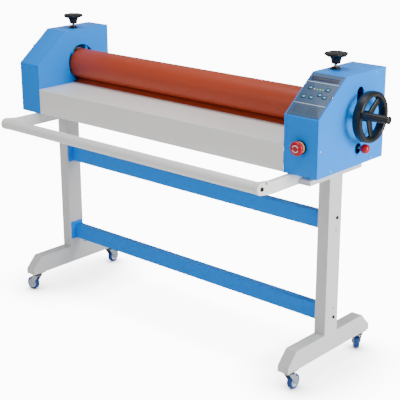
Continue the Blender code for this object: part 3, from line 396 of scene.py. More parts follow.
def turned(profile, centre, axis, steps=48, reach=0.0, closed=False):
    """A lathe profile of (radius, height), corners rounded, turned about an axis."""
    if reach:
        profile = rounded(profile, reach, closed)
    profile = np.asarray(profile, float)
    return stacked(profile[:, None, :1] * circle(steps), profile[:, 1], centre, axis)


def pad_grid(outline, thickness, edge, centre, axis):
    """A flat plate of a given outline whose rim is rounded over on both sides:
    at angle a over the edge the outline draws in by edge*(1-cos a)."""
    outline = np.asarray(outline, float)
    heart = outline.mean(0)
    near = outline - np.roll(outline, 1, 0)
    far = np.roll(outline, -1, 0) - outline
    along = near / np.linalg.norm(near, axis=1, keepdims=True)
    along += far / np.linalg.norm(far, axis=1, keepdims=True)
    along /= np.linalg.norm(along, axis=1, keepdims=True)
    inward = np.stack([-along[:, 1], along[:, 0]], -1)
    turn = np.linspace(-np.pi / 2, np.pi / 2, 7)
    middle_height = np.where(turn < 0, edge, thickness - edge)
    heights = middle_height + edge * np.sin(turn)
    insets = edge * (1 - np.cos(turn))
    rings = outline + inward * insets[:, None, None]
    poles = np.broadcast_to(heart, rings[:1].shape)
    rings = np.concatenate([poles, rings, poles])
    heights = np.concatenate([[0], heights, [thickness]])
    return stacked(rings, heights, centre, axis)


def oblong(width, height, corner, steps=5):
    """A rectangle about its middle, with rounded corners, anticlockwise."""
    a, b = width / 2, height / 2
    return rounded([(-a, -b), (a, -b), (a, b), (-a, b)], corner, closed=True, steps=steps)


def carried(path, side, up, section):
    """A section of (side, up) points carried along a path, with closed ends."""
    body = (
        path[:, None] + section[None, :, :1] * side[:, None] + section[None, :, 1:] * up[:, None]
    )
    ends = [np.broadcast_to(path[i], body[:1].shape) for i in (0, -1)]
    return np.concatenate([ends[0], body, ends[1]])


def folded_sheet(name, outline, x_low, x_high, thickness, bend, finish, body, stands_for):
    """A strip as wide as the part, carried along its outline in Y and Z."""
    line = rounded(outline, bend, steps=5)
    step = np.diff(line, axis=0)
    step /= np.linalg.norm(step, axis=1, keepdims=True)
    along = np.concatenate([step[:1], step[:-1] + step[1:], step[-1:]])
    along /= np.linalg.norm(along, axis=1, keepdims=True)
    zero = np.zeros(len(line))
    path = np.stack([zero + (x_low + x_high) / 2, line[:, 0], line[:, 1]], -1)
    up = np.stack([zero, -along[:, 1], along[:, 0]], -1)
    side = np.broadcast_to(X_AXIS, path.shape)
    section = oblong(x_high - x_low, thickness, thickness * 0.4, steps=3)
    return skin(name, carried(path, side, up, section), finish, body, stands_for)


def softened(name, finish, body, width, smooth=30):
    """The CAD solid with its edges rounded over, as folded or machined metal has."""
    source = nodes[name].data
    mesh = bpy.data.meshes.new(name + "_soft")
    shape = bmesh.new()
    shape.from_mesh(source)
    bmesh.ops.remove_doubles(shape, verts=shape.verts, dist=1e-5)
    flat = math.radians(1)
    bmesh.ops.dissolve_limit(shape, angle_limit=flat, verts=shape.verts, edges=shape.edges)
    shape.to_mesh(mesh)
    shape.free()
    mesh.materials.clear()
    if mesh.attributes.get("custom_normal"):
        mesh.attributes.remove(mesh.attributes["custom_normal"])
    obj = show(name + "_soft", mesh, finish, body, (name,), smooth)
    bevel = obj.modifiers.new("edge", "BEVEL")
    bevel.width = width
    bevel.segments = 2
    bevel.limit_method = "ANGLE"
    bevel.angle_limit = math.radians(30)
    bevel.harden_normals = True
    return obj


def screw_head(name, centre, axis, radius, height, body, finish="black_oxide", sides=6):
    """A button head with a hexagon socket: circles up to the crown, then the
    socket, whose radius at angle a is flat/cos(a within its side)."""
    ring = circle(36)
    angle = np.arctan2(ring[:, 1], ring[:, 0])
    half = np.pi / sides
    hexagon = 0.46 * radius / np.cos((angle + half) % (2 * half) - half)
    over = np.linspace(0, np.pi / 2, 5)[:-1]
    rim = radius * (0.72 + 0.28 * np.cos(over))
    rise = height * (0.35 + 0.65 * np.sin(over))
    widths = [radius * 0, radius, *rim, radius * 0.68]
    heights = [0, 0, *rise, height]
    rings = np.array(widths)[:, None, None] * ring
    socket = hexagon[:, None] * ring
    rings = np.concatenate([rings, socket[None], socket[None], 0 * socket[None]])
    heights = [*heights, height, height * 0.35, height * 0.35]
    return skin(name, stacked(rings, heights, centre, axis), finish, body, smooth=32)


# %% [markdown]
# ## Stand
# Each leg is a column of rectangular tube welded on a foot with sloping ends,
# powder coated in one piece. The corners of such tube are rounded in rolling, so
# the CAD solid gets its edges rounded over rather than being drawn again.

# %% Legs, crossbars, head bars and arms
for side, _ in SIDES:
    softened(f"{side}_leg", "grey_paint", "frame", 0.0025)
    softened(f"{side}_head_bar", "grey_paint", "frame", 0.0012)
    softened(f"{side}_arm", "table_paint", "frame", 0.0012)
for bar in ("upper_crossbar", "lower_crossbar"):
    softened(bar, "blue_paint", "frame", 0.0018)
softened("cross_tie", "steel", "frame", 0.001)


# %% Pads and stand bolts
def rubber_pad(name):
    """A short spacer with a groove round its middle."""
    low, high = corners(name)
    radius = (high[0] - low[0]) / 2
    height = high[2] - low[2]
    groove = radius * 0.86
    foot = [(low[0] + high[0]) / 2, (low[1] + high[1]) / 2, low[2]]
    profile = [
        (0, 0), (radius, 0), (radius, height * 0.3), (groove, height * 0.4),
        (groove, height * 0.6), (radius, height * 0.7), (radius, height), (0, height),
    ]
    skin(f"{name}_rubber", turned(profile, foot, Z_AXIS, 32, 0.002), "rubber", "frame", (name,))


def crossbar_fasteners(side, sign, bar, bolt_z, screw_z):
    """The bolt and the small screw that hold a crossbar's end to its column."""
    outer = outer_face(f"{side}_leg", sign)
    leg_low, leg_high = corners(f"{side}_leg")
    column_y = (leg_low[1] + leg_high[1]) / 2
    bolt = (outer, column_y + 0.012, bolt_z)
    screw = (outer, column_y + 0.008, screw_z)
    screw_head(f"{side}_{bar}_crossbar_bolt", bolt, sign * X_AXIS, 0.0065, 0.004, "frame")
    screw_head(f"{side}_{bar}_crossbar_screw", screw, sign * X_AXIS, 0.0028, 0.0015, "frame")


for side, _ in SIDES:
    for end in ("front", "rear"):
        rubber_pad(f"{side}_{end}_pad")

upper_low, upper_high = corners("upper_crossbar")
lower_low, lower_high = corners("lower_crossbar")
for side, sign in SIDES:
    crossbar_fasteners(side, sign, "upper", upper_high[2] - 0.027, upper_low[2] + 0.006)
    crossbar_fasteners(side, sign, "lower", lower_low[2] + 0.026, lower_high[2] - 0.017)


# %% Film bar
def film_bar():
    """A tube whose end plugs are bored for the arms' pins."""
    low, high = corners("film_bar")
    radius = (high[2] - low[2]) / 2
    half = (high[0] - low[0]) / 2
    bore = radius * 0.3
    profile = [(bore, -half), (radius, -half), (radius, half), (bore, half)]
    skin(
        "film_bar_tube", turned(profile, middle("film_bar"), X_AXIS, 48, 0.002, closed=True),
        "tube_paint", "film_bar", ("film_bar",), loop=True,
    )


def arm_screws(side, sign):
    """The screw that is the film bar's pin, and the set screw that locks it."""
    outer = outer_face(f"{side}_arm", sign)
    arm_top = corners(f"{side}_arm")[1][2]
    axis_y, axis_z = middle("film_bar")[1:]
    pin = (outer, axis_y, axis_z)
    set_screw = (outer, axis_y + 0.026, arm_top - 0.009)
    screw_head(f"{side}_film_pin_screw", pin, sign * X_AXIS, 0.008, 0.0045, "frame")
    screw_head(f"{side}_arm_set_screw", set_screw, sign * X_AXIS, 0.0035, 0.002, "frame")


film_bar()
for side, sign in SIDES:
    arm_screws(side, sign)

# %% [markdown]
# ## Housings
# The cover is one folded sheet from the front, over the slope and the top, down
# the rear. The end panel and the thick side plate close it. Drawn as a strip
# carried along the outline, the folds get the bend radius that a brake leaves.

# %% Outline, covers and plates
panel = nodes["left_end_panel"].data
spots = np.empty(len(panel.vertices) * 3, np.float32)
panel.vertices.foreach_get("co", spots)
spots = spots.reshape(-1, 3)
FRONT, REAR = spots[:, 1].min(), spots[:, 1].max()
BASE, TOP = spots[:, 2].min(), spots[:, 2].max()
front_top = spots[spots[:, 1] < FRONT + 1e-4, 2].max()
slope_top = spots[spots[:, 2] > TOP - 1e-4, 1].min()
OUTLINE = np.array(
    [(FRONT, BASE), (FRONT, front_top), (slope_top, TOP), (REAR, TOP), (REAR, BASE)]
)
slope_run = np.array([slope_top - FRONT, TOP - front_top])
slope_length = np.linalg.norm(slope_run)
slope_along = np.array([0, *slope_run / slope_length])
slope_out = np.cross(X_AXIS, slope_along)
print("slope", round(math.degrees(math.atan2(slope_run[1], slope_run[0])), 1), "degrees")

SHEET = 0.002
BEND = 0.003                # bend radius in the sheet's middle


def inset_outline(distance):
    """The housing outline moved inwards, so that a sheet's middle lies on it."""
    shift = distance * math.tan(math.atan2(slope_run[1], slope_run[0]) / 2)
    lean = distance * math.tan(math.atan2(slope_run[0], slope_run[1]) / 2)
    return np.array([
        (FRONT + distance, BASE),
        (FRONT + distance, front_top - lean),
        (slope_top + shift, TOP - distance),
        (REAR - distance, TOP - distance),
        (REAR - distance, BASE),
    ])


for side, _ in SIDES:
    low, high = corners(f"{side}_cover")
    folded_sheet(
        f"{side}_cover_sheet", inset_outline(SHEET / 2), low[0], high[0], SHEET, BEND,
        "blue_paint", "frame", (f"{side}_cover",),
    )
    softened(f"{side}_side_frame", "blue_paint", "frame", 0.0008)
    softened(f"{side}_upper_block", "steel", "roller_carriage", 0.001)
    softened(f"{side}_lower_block", "steel", "frame", 0.001)

# %% End panels and their screws
softened("right_end_panel", "blue_paint", "frame", 0.0006)
panel_low, panel_high = corners("left_end_panel")
LEFT_HEADS = 0.0008         # room kept for the screw heads outside the left panel
half_yz = np.array([(FRONT + REAR) / 2, (BASE + TOP) / 2])
left_outline = rounded(OUTLINE[::-1] - half_yz, 0.0015, closed=True, steps=3)
skin(
    "left_end_panel_sheet",
    pad_grid(
        left_outline * [-1, 1], panel_high[0] - panel_low[0] - LEFT_HEADS, 0.0005,
        (panel_high[0], *half_yz), -X_AXIS,
    ),
    "blue_paint", "frame", ("left_end_panel",),
)

# How far each screw sits behind the front and above the base
PANEL_SCREWS = [(0.354, 0.326), (0.079, 0.276), (0.016, 0.098), (0.338, 0.011), (0.081, 0.012)]
PANEL_HEAD_R = 0.0042
HEAD_LINES = (
    ("right", 1, outer_face("right_end_panel", 1), 0.0016),
    ("left", -1, panel_low[0] + LEFT_HEADS, LEFT_HEADS * 0.9),
)
for count, (back, up) in enumerate(PANEL_SCREWS, 1):
    for side, sign, face, rise in HEAD_LINES:
        screw_head(
            f"{side}_panel_screw_{count}", (face, FRONT + back, BASE + up), sign * X_AXIS,
            PANEL_HEAD_R, rise, "frame", "bright_steel",
        )

# %% Feed and exit tables
HEM = 0.018                 # width of the edge folded under at a table's outer end


def folded_table(name, direction):
    """A flat top, an apron down its outer edge, and a hem folded back under."""
    low, high = corners(name)
    outer, inner = (low[1], high[1]) if direction > 0 else (high[1], low[1])
    half = SHEET / 2
    outline = [
        (outer + direction * HEM, low[2] + half), (outer + direction * half, low[2] + half),
        (outer + direction * half, high[2] - half), (inner, high[2] - half),
    ]
    folded_sheet(
        f"{name}_sheet", outline, low[0], high[0], SHEET, BEND, "table_paint", "frame", (name,)
    )


folded_table("feed_table", 1)
folded_table("exit_table", -1)

# %% [markdown]
# ## Rollers
# Cold rollers are steel tubes with shafts, covered in silicone and ground while
# they turn. The cover's ends are slightly rounded. The grind shows as very fine
# rings, which the silicone finish gives with noise stretched round the axis.

# %% Rollers
JOURNAL_R = 0.0175
WHEEL_TIP_R = 0.0105        # the upper shaft steps down where the handwheel sits
TIP_LENGTH = 0.020


def silicone_cover(name, core_r):
    """A sleeve a hair wider inside than its core. Gives its centre and half length."""
    low, high = corners(f"{name}_roller_sleeve")
    radius = (high[2] - low[2]) / 2
    half = (high[0] - low[0]) / 2
    wall = core_r + 0.0003
    profile = [(wall, -half), (radius, -half), (radius, half), (wall, half)]
    centre = middle(f"{name}_roller_sleeve")
    skin(
        f"{name}_roller_cover", turned(profile, centre, X_AXIS, 96, 0.0025, closed=True),
        "silicone", f"{name}_roller", (f"{name}_roller_sleeve",), loop=True,
    )
    return centre, half


def roller(name, tip_r):
    """The silicone cover, and the core with a journal at each end."""
    core_low, core_high = corners(f"{name}_roller_core")
    core_r = (core_high[2] - core_low[2]) / 2
    centre, half = silicone_cover(name, core_r)
    start = core_low[0] - centre[0]
    end = core_high[0] - centre[0]
    shoulder = end - TIP_LENGTH
    profile = [
        (0, start), (JOURNAL_R, start), (JOURNAL_R, -half), (core_r, -half), (core_r, half),
        (JOURNAL_R, half), (JOURNAL_R, shoulder), (tip_r, shoulder), (tip_r, end), (0, end),
    ]
    skin(
        f"{name}_roller_shaft", turned(profile, centre, X_AXIS, 48, 0.001),
        "steel", f"{name}_roller", (f"{name}_roller_core",),
    )


roller("upper", WHEEL_TIP_R)
roller("lower", JOURNAL_R)

# %% [markdown]
# ## Pressure knobs
# A moulded star knob turns each pressure screw. The lobes are a cosine dip in
# the radius, which fades out towards the hub, as the mould's draft does. Fine
# ribs on the hub repeat the same idea with a shorter wave.


# %% Knobs
def knob(side):
    """Seven lobes on a disc, above a ribbed hub."""
    low, high = corners(f"{side}_knob")
    centre = middle(f"{side}_knob")
    radius = (high[1] - low[1]) / 2
    height = high[2] - low[2]
    disc = height * 0.32
    hub = height - disc
    # radius, height, depth of the lobes, depth of the hub's ribs
    rows = np.array([
        (0, 0, 0, 0), (0.0150, 0, 0, 0), (0.0160, 0.0012, 0, 0.0004),
        (0.0175, hub * 0.35, 0, 0.0009), (0.0195, hub * 0.62, 0, 0.0009),
        (0.0215, hub * 0.78, 0.0006, 0.0004), (0.0250, hub * 0.90, 0.0012, 0),
        (radius - 0.0065, hub * 0.98, 0.0055, 0), (radius - 0.0018, hub + disc * 0.22, 0.0066, 0),
        (radius, hub + disc * 0.52, 0.0070, 0), (radius - 0.0014, hub + disc * 0.80, 0.0068, 0),
        (radius - 0.0060, hub + disc * 0.97, 0.0060, 0), (radius - 0.0120, height, 0.0040, 0),
        (0.0200, height - 0.0012, 0.0010, 0), (0.0150, height - 0.0026, 0, 0),
        (0.0138, height - 0.0030, 0, 0), (0.0130, height - 0.0016, 0, 0),
        (0.0070, height - 0.0010, 0, 0), (0, height - 0.0008, 0, 0),
    ])
    ring = circle(168)
    angle = np.arctan2(ring[:, 1], ring[:, 0])
    dip = ((1 - np.cos(7 * angle)) / 2) ** 1.6
    ribs = (1 - np.cos(28 * angle)) / 2
    reach = rows[:, :1] - rows[:, 2:3] * dip - rows[:, 3:] * ribs
    outlines = reach[..., None] * ring
    points = stacked(outlines, rows[:, 1], (centre[0], centre[1], low[2]), Z_AXIS)
    skin(f"{side}_star_knob", points, "black_plastic", f"{side}_knob", (f"{side}_knob",))


def pressure_screw(side):
    """Threaded rod: the radius follows a ridge that climbs one pitch per turn."""
    low, high = corners(f"{side}_pressure_screw")
    centre = middle(f"{side}_pressure_screw")
    radius, pitch, ridge = 0.006, 0.002, 0.0009
    heights = np.arange(0, high[2] - low[2], pitch / 5)
    ring = circle(24)
    angle = np.arctan2(ring[:, 1], ring[:, 0])
    phase = heights[:, None] / pitch - angle / (2 * np.pi)
    reach = radius - ridge * np.abs(2 * (phase % 1) - 1)
    outlines = reach[..., None] * ring
    ends = np.zeros_like(outlines[:1])
    outlines = np.concatenate([ends, outlines, ends])
    heights = np.concatenate([heights[:1], heights, heights[-1:]])
    points = stacked(outlines, heights, (centre[0], centre[1], low[2]), Z_AXIS)
    skin(
        f"{side}_pressure_thread", points, "steel", f"{side}_knob",
        (f"{side}_pressure_screw",), smooth=60,
    )


def collar_nut(side):
    """A round nut with a narrower neck, bored for the screw."""
    low, high = corners(f"{side}_collar_nut")
    radius = (high[0] - low[0]) / 2
    height = high[2] - low[2]
    bore = 0.0066
    foot = (*middle(f"{side}_collar_nut")[:2], low[2])
    profile = [
        (bore, 0), (radius, 0), (radius, height * 0.42), (radius * 0.78, height * 0.5),
        (radius * 0.72, height), (bore, height),
    ]
    skin(
        f"{side}_collar", turned(profile, foot, Z_AXIS, 48, 0.0012, closed=True),
        "black_plastic", "frame", (f"{side}_collar_nut",), loop=True,
    )


for side, _ in SIDES:
    knob(side)
    pressure_screw(side)
    collar_nut(side)

# %% [markdown]
# ## Handwheel
# A moulded handwheel sits on the upper roller's shaft. Its rim is a rounded
# section turned about the shaft. Each spoke is a flattened oval that widens into
# the hub and the rim, so the joints read as one casting.

# %% Handwheel rim and hub
wheel_low, wheel_high = corners("handwheel")
shaft_y, shaft_z = middle("upper_roller_sleeve")[1:]
WHEEL_R = (wheel_high[2] - wheel_low[2]) / 2
RIM_DEPTH = 0.036
RIM_WIDTH = 0.019
DISH = 0.020                # how far the hub's front lies behind the rim's
rim_front = outer_face("crank_handle", -1) - 0.0003
rim_back = rim_front - RIM_DEPTH
hub_front = rim_front - DISH
hub_centre = np.array([rim_back, shaft_y, shaft_z])
hub_depth = hub_front - rim_back


def rim():
    """A ring whose section is rounded almost to an oval."""
    inner = WHEEL_R - RIM_WIDTH
    profile = [(inner, 0), (WHEEL_R, 0), (WHEEL_R, RIM_DEPTH), (inner, RIM_DEPTH)]
    skin(
        "handwheel_rim", turned(profile, hub_centre, X_AXIS, 96, 0.0088, closed=True),
        "black_plastic", "upper_roller", ("handwheel",), loop=True,
    )


def hub():
    """A plain boss with a shallow ring and a domed cap on its front."""
    back = hub_depth - 0.026
    groove = hub_depth - 0.0022
    profile = [
        (0, back), (0.0195, back), (0.0195, hub_depth - 0.004), (0.0165, hub_depth),
        (0.0120, hub_depth), (0.0110, groove), (0.0085, groove), (0.0080, hub_depth + 0.0012),
        (0, hub_depth + 0.0018),
    ]
    skin(
        "handwheel_hub", turned(profile, hub_centre, X_AXIS, 48, 0.0012),
        "black_plastic", "upper_roller", ("handwheel",),
    )


rim()
hub()

# %% Handwheel spokes
SPOKES = 3
SPOKE_START = 0.012         # distance from the shaft's axis where a spoke begins
crank = middle("crank_handle")
crank_angle = math.atan2(crank[2] - shaft_z, crank[1] - shaft_y)


def spoke(count):
    """An oval carried outwards. At t from 0 at the hub to 1 at the rim, its half
    width is 12 mm plus 3 mm*(1-t)^2 plus 4 mm*t^6, and its half depth likewise."""
    angle = crank_angle + 2 * np.pi * count / SPOKES
    out = np.array([0, math.cos(angle), math.sin(angle)])
    across = np.cross(X_AXIS, out)
    t = np.linspace(0, 1, 15)
    reach = SPOKE_START + (WHEEL_R - RIM_WIDTH * 0.6 - SPOKE_START) * t
    rise = hub_depth - 0.006 + 0.004 * t**2
    path = np.array([0, shaft_y, shaft_z]) + reach[:, None] * out
    path[:, 0] = rim_back + rise
    half_width = 0.0120 + 0.0030 * (1 - t) ** 2 + 0.0040 * t**6
    half_depth = 0.0050 + 0.0010 * (1 - t) ** 2 + 0.0020 * t**6
    oval = np.sign(circle(28)) * np.abs(circle(28)) ** 0.75
    points = (
        path[:, None]
        + oval[None, :, :1] * half_width[:, None, None] * across
        + oval[None, :, 1:] * half_depth[:, None, None] * X_AXIS
    )
    ends = [np.broadcast_to(path[i], points[:1].shape) for i in (0, -1)]
    points = np.concatenate([ends[0], points, ends[1]])
    skin(
        f"handwheel_spoke_{count + 1}", points, "black_plastic", "upper_roller", ("handwheel",)
    )


for count in range(SPOKES):
    spoke(count)


# %% Crank handle
def crank_grip():
    """A grip whose radius swells as a sine, with a rolled ring at its outer end."""
    low, high = corners("crank_handle")
    length = high[0] - low[0]
    radius = (high[2] - low[2]) / 2
    t = np.linspace(0, 0.93, 14)
    belly = radius * (0.74 + 0.26 * np.sin(np.pi * (0.05 + 0.9 * t)))
    grip = [(0, 0), (radius * 0.62, 0), *zip(belly[1:], length * t[1:])]
    grip += [
        (radius * 0.80, length * 0.945), (radius * 0.99, length * 0.955),
        (radius * 0.97, length * 0.985), (radius * 0.62, length * 0.998), (0, length),
    ]
    skin(
        "crank_grip", turned(grip, (low[0], crank[1], crank[2]), X_AXIS, 40, 0.0006),
        "black_plastic", "crank_handle", ("crank_handle",), smooth=50,
    )


crank_grip()

# %% [markdown]
# ## Clutch, emergency stop and control panel
# The red ball pulls a rod in the lower shaft. The stop button is a mushroom on a
# cream ring. The panel is a printed film with raised keys; its marks are generic.

# %% Clutch rod and ball
def clutch(rod_r=0.006):
    """A ball cut off where it meets its rod, at minus the square root of
    ball radius squared less rod radius squared, and the rod behind it."""
    low, high = corners("clutch_rod")
    ball_r = (high[2] - low[2]) / 2
    centre = (high[0] - ball_r, *middle("clutch_rod")[1:])
    theta = np.linspace(-math.acos(rod_r / ball_r), np.pi / 2, 28)
    ball = [*zip(ball_r * np.cos(theta), ball_r * np.sin(theta))]
    ball[-1] = (0, ball_r)
    neck = -math.sqrt(ball_r**2 - rod_r**2)
    skin(
        "clutch_ball", turned([(0, neck), *ball], centre, X_AXIS, 40),
        "red_plastic", "clutch_rod", ("clutch_rod",),
    )
    rod_end = low[0] - centre[0]
    stem = [(0, rod_end), (rod_r, rod_end), (rod_r, neck), (0, neck)]
    skin(
        "clutch_stem", turned(stem, centre, X_AXIS, 32, 0.0006),
        "steel", "clutch_rod", ("clutch_rod",),
    )


clutch()

# %% Emergency stop
stop_x, stop_z = middle("stop_button_body")[[0, 2]]
STOP_FOOT = (stop_x, FRONT, stop_z)


def stop_body(bore=0.0072, thread_r=0.011, ring_r=0.0225, ring_height=0.004):
    """The threaded barrel with its collar, and the cream ring on the collar."""
    low, high = corners("stop_button_body")
    collar_r = (high[0] - low[0]) / 2
    ring_top = FRONT - low[1]
    ring_foot = ring_top - ring_height
    depth = high[1] - FRONT
    barrel = [
        (bore, -depth), (thread_r, -depth), (thread_r, 0.0003), (collar_r, 0.0003),
        (collar_r * 0.97, ring_foot), (bore, ring_foot),
    ]
    skin(
        "stop_barrel", turned(barrel, STOP_FOOT, -Y_AXIS, 48, 0.0012, closed=True),
        "black_plastic", "frame", ("stop_button_body",), loop=True,
    )
    ring = [(bore, ring_foot), (ring_r, ring_foot), (ring_r, ring_top), (bore, ring_top)]
    skin(
        "stop_ring", turned(ring, STOP_FOOT, -Y_AXIS, 48, 0.0008, closed=True),
        "cream_plastic", "frame", ("stop_button_body",), loop=True,
    )


def stop_mushroom(stem_r=0.0066, dome_rise=0.0035):
    """The head's crown is an ellipse: at height k of its rise, from 0 to 1, its
    radius shrinks by the square root of 1-k^2."""
    low, high = corners("stop_button_head")
    radius = (high[0] - low[0]) / 2
    top = FRONT - low[1]
    root = high[1] - FRONT
    t = np.linspace(0, 1, 9)[:-1]
    dome = [(radius * 0.93 * (1 - k * k) ** 0.5, top - dome_rise + dome_rise * k) for k in t]
    profile = [
        (0, -root), (stem_r, -root), (stem_r, top - 0.016), (radius * 0.86, top - 0.016),
        (radius, top - 0.012), (radius, top - 0.006), *dome, (0, top),
    ]
    skin(
        "stop_mushroom", turned(profile, STOP_FOOT, -Y_AXIS, 56, 0.001),
        "red_plastic", "stop_button", ("stop_button_head",),
    )
    return radius, FRONT - top


def turn_mark(count, radius, face_y):
    """One of two raised arcs that show which way the head is turned to free it."""
    sweep = np.linspace(math.radians(20), math.radians(160), 12) + np.pi * count
    path = np.stack([
        stop_x + radius * np.cos(sweep),
        np.full(12, face_y),
        stop_z + radius * np.sin(sweep),
    ], -1)
    radial = path - [stop_x, face_y, stop_z]
    radial /= np.linalg.norm(radial, axis=1, keepdims=True)
    section = oblong(0.0030, 0.0014, 0.0004, 3)
    skin(
        f"stop_turn_mark_{count + 1}",
        carried(path, radial, np.broadcast_to(Y_AXIS, path.shape), section),
        "print_white", "stop_button",
    )


stop_body()
head_r, head_face = stop_mushroom()
for count in range(2):
    turn_mark(count, head_r * 0.46, head_face + 0.00075)

# %% Control panel
film_low, film_high = corners("control_overlay")
panel_w = film_high[0] - film_low[0]
panel_mid = (film_low + film_high) / 2
FILM = 0.0012
panel_length = np.linalg.norm((film_high - film_low)[1:]) - FILM


def on_panel(name, right, up, width, height, corner, thickness, finish, lift=FILM / 2):
    """A flat print or key on the slope; right and up start at the panel's middle."""
    centre = panel_mid + right * X_AXIS + up * slope_along + (lift - 0.0001) * slope_out
    outline = oblong(width, height, corner)
    grid = pad_grid(outline, thickness, min(thickness * 0.45, 0.0004), (0, 0, 0), Z_AXIS)
    flat = -grid[..., :1] * X_AXIS + grid[..., 1:2] * slope_along + grid[..., 2:] * slope_out
    return skin(name, centre + flat, finish, "frame")


film = on_panel(
    "control_film", 0, 0, panel_w, panel_length, 0.004, FILM, "overlay_film", -FILM / 2
)
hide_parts("control_overlay")

# %% Printed lines, keys and lamps
TITLE_LINE = panel_length * 0.29
LOWER_LINE = -panel_length * 0.215
TITLE_BAND = panel_length * 0.375
NOTES_TOP = -panel_length * 0.285
KEY_HEIGHT = 0.0007
# Places of the keys from the panel's middle, rightwards and up the slope
KEYS = [(-0.038, 0.030), (0.036, 0.030), (-0.044, -0.012), (-0.012, -0.012), (0.016, 0.004),
        (0.040, -0.004)]


def title():
    """Two rules, and a dark band with nine plain blocks in place of lettering."""
    for name, up in (("title_line", TITLE_LINE), ("lower_line", LOWER_LINE)):
        on_panel(name, 0, up, panel_w * 0.97, 0.0018, 0.0005, 0.00025, "print_white")
    on_panel(
        "title_band", 0, TITLE_BAND, panel_w * 0.86, 0.018, 0.002, 0.0002, "overlay_dark"
    )
    for count in range(9):
        on_panel(
            f"title_mark_{count + 1}", (count - 4) * panel_w * 0.088, TITLE_BAND,
            panel_w * 0.06, 0.009, 0.001, 0.00035, "print_black",
        )


def key(count, right, up):
    """A raised key with a plain mark on it."""
    on_panel(f"key_{count}", right, up, 0.020, 0.016, 0.004, KEY_HEIGHT, "overlay_dark")
    on_panel(
        f"key_mark_{count}", right, up, 0.011, 0.007, 0.0020, 0.0003, "print_cyan",
        FILM / 2 + KEY_HEIGHT,
    )


def lamp(count):
    """One of a row of round lamps; the first is amber."""
    finish = "lamp_amber" if count == 0 else "lamp_green"
    right = -0.020 + count * 0.012
    on_panel(f"lamp_{count + 1}", right, 0.026, 0.0055, 0.0055, 0.0026, 0.0009, finish)


def note(row, column):
    """A short bar in place of a line of small print."""
    right = (column - 0.5) * panel_w * 0.42
    up = NOTES_TOP - row * 0.0085
    name = f"note_{row + 1}_{column + 1}"
    on_panel(name, right, up, panel_w * 0.36, 0.0022, 0.0006, 0.00025, "print_black")


title()
for count, (right, up) in enumerate(KEYS, 1):
    key(count, right, up)
for count in range(4):
    lamp(count)
for row in range(4):
    for column in range(2):
        note(row, column)

# %% [markdown]
# ## Casters
# Each swivel caster is a pressed plate with a ball race, a fork bent from strip,
# and a soft tread moulded on a hard core. The way a fork points at rest comes
# from its wheel's place beside the swivel axis.

# %% Casters
joint_of = {joint["name"]: joint for joint in frame["joints"]}


def cheek_outline(crown_half, crown_height, trail, axle_height, eye):
    """Side of a fork cheek: straight from the crown to a round eye at the axle."""
    sweep = np.radians(np.linspace(20, -150, 9))
    eye_points = np.stack(
        [trail + eye * np.cos(sweep), axle_height + eye * np.sin(sweep)], -1
    )
    top = [(-crown_half, crown_height), (crown_half, crown_height)]
    return np.concatenate([top, eye_points])[::-1]


def caster_plate(corner, on_floor, thick=0.003):
    """The pressed top plate and, under it, the race that the fork turns in."""
    low, high = corners(f"{corner}_caster_plate")
    wide, long = (high - low)[:2]
    race_top = high[2] - thick
    plate_foot = ((low[0] + high[0]) / 2, (low[1] + high[1]) / 2, race_top)
    # The plate and the race get the darkened zinc, painted shade for the shadow line under the
    # foot
    skin(
        f"{corner}_top_plate",
        pad_grid(oblong(wide, long, 0.007), thick, 0.0006, plate_foot, Z_AXIS),
        "zinc_with_painted_shade", "frame", (f"{corner}_caster_plate",),
    )
    race_low = low[2]
    race = [
        (0, race_low), (0.0165, race_low), (0.0200, race_low + 0.0035),
        (0.0200, race_low + 0.0055), (0.0175, race_top), (0, race_top),
    ]
    skin(
        f"{corner}_ball_race", turned(race, on_floor, Z_AXIS, 36, 0.001),
        "zinc_with_painted_shade", "frame", (f"{corner}_caster_plate",),
    )
    return race_low


def fork_crown(corner, on_floor, top):
    """The disc that turns under the race, with the kingpin's end below it."""
    crown = [
        (0, top - 0.0065), (0.0060, top - 0.0065), (0.0065, top - 0.0035),
        (0.0150, top - 0.0035), (0.0208, top - 0.0030), (0.0208, top - 0.0010),
        (0.0150, top), (0, top),
    ]
    skin(
        f"{corner}_fork_crown", turned(crown, on_floor, Z_AXIS, 36, 0.0008),
        "zinc", f"{corner}_fork", (f"{corner}_caster_fork",),
    )


def fork_cheeks(corner, on_floor, top, axle, axis, gap=0.0132, thick=0.0025):
    """Two flat cheeks from the crown to the axle, and the axle's riveted ends."""
    lead = (axle - on_floor) * [1, 1, 0]
    trail = np.linalg.norm(lead)
    lead /= trail
    outline = cheek_outline(0.0165, top - 0.001, trail, axle[2], 0.010)
    flat_x, flat_y = across_and_up(Z_AXIS)
    for count, sign in enumerate((-1, 1), 1):
        grid = pad_grid(rounded(outline, 0.002, True, 2), thick, 0.0006, (0, 0, 0), Z_AXIS)
        right = (grid @ flat_x)[..., None]
        rise = (grid @ flat_y)[..., None]
        out = grid[..., 2:]
        points = on_floor + right * lead + rise * Z_AXIS + sign * (gap + out) * axis
        skin(
            f"{corner}_fork_cheek_{count}", points, "zinc", f"{corner}_fork",
            (f"{corner}_caster_fork",),
        )
        face = axle + sign * axis * (gap + thick)
        screw_head(
            f"{corner}_axle_end_{count}", face, sign * axis, 0.0058, 0.0028,
            f"{corner}_fork", "zinc",
        )


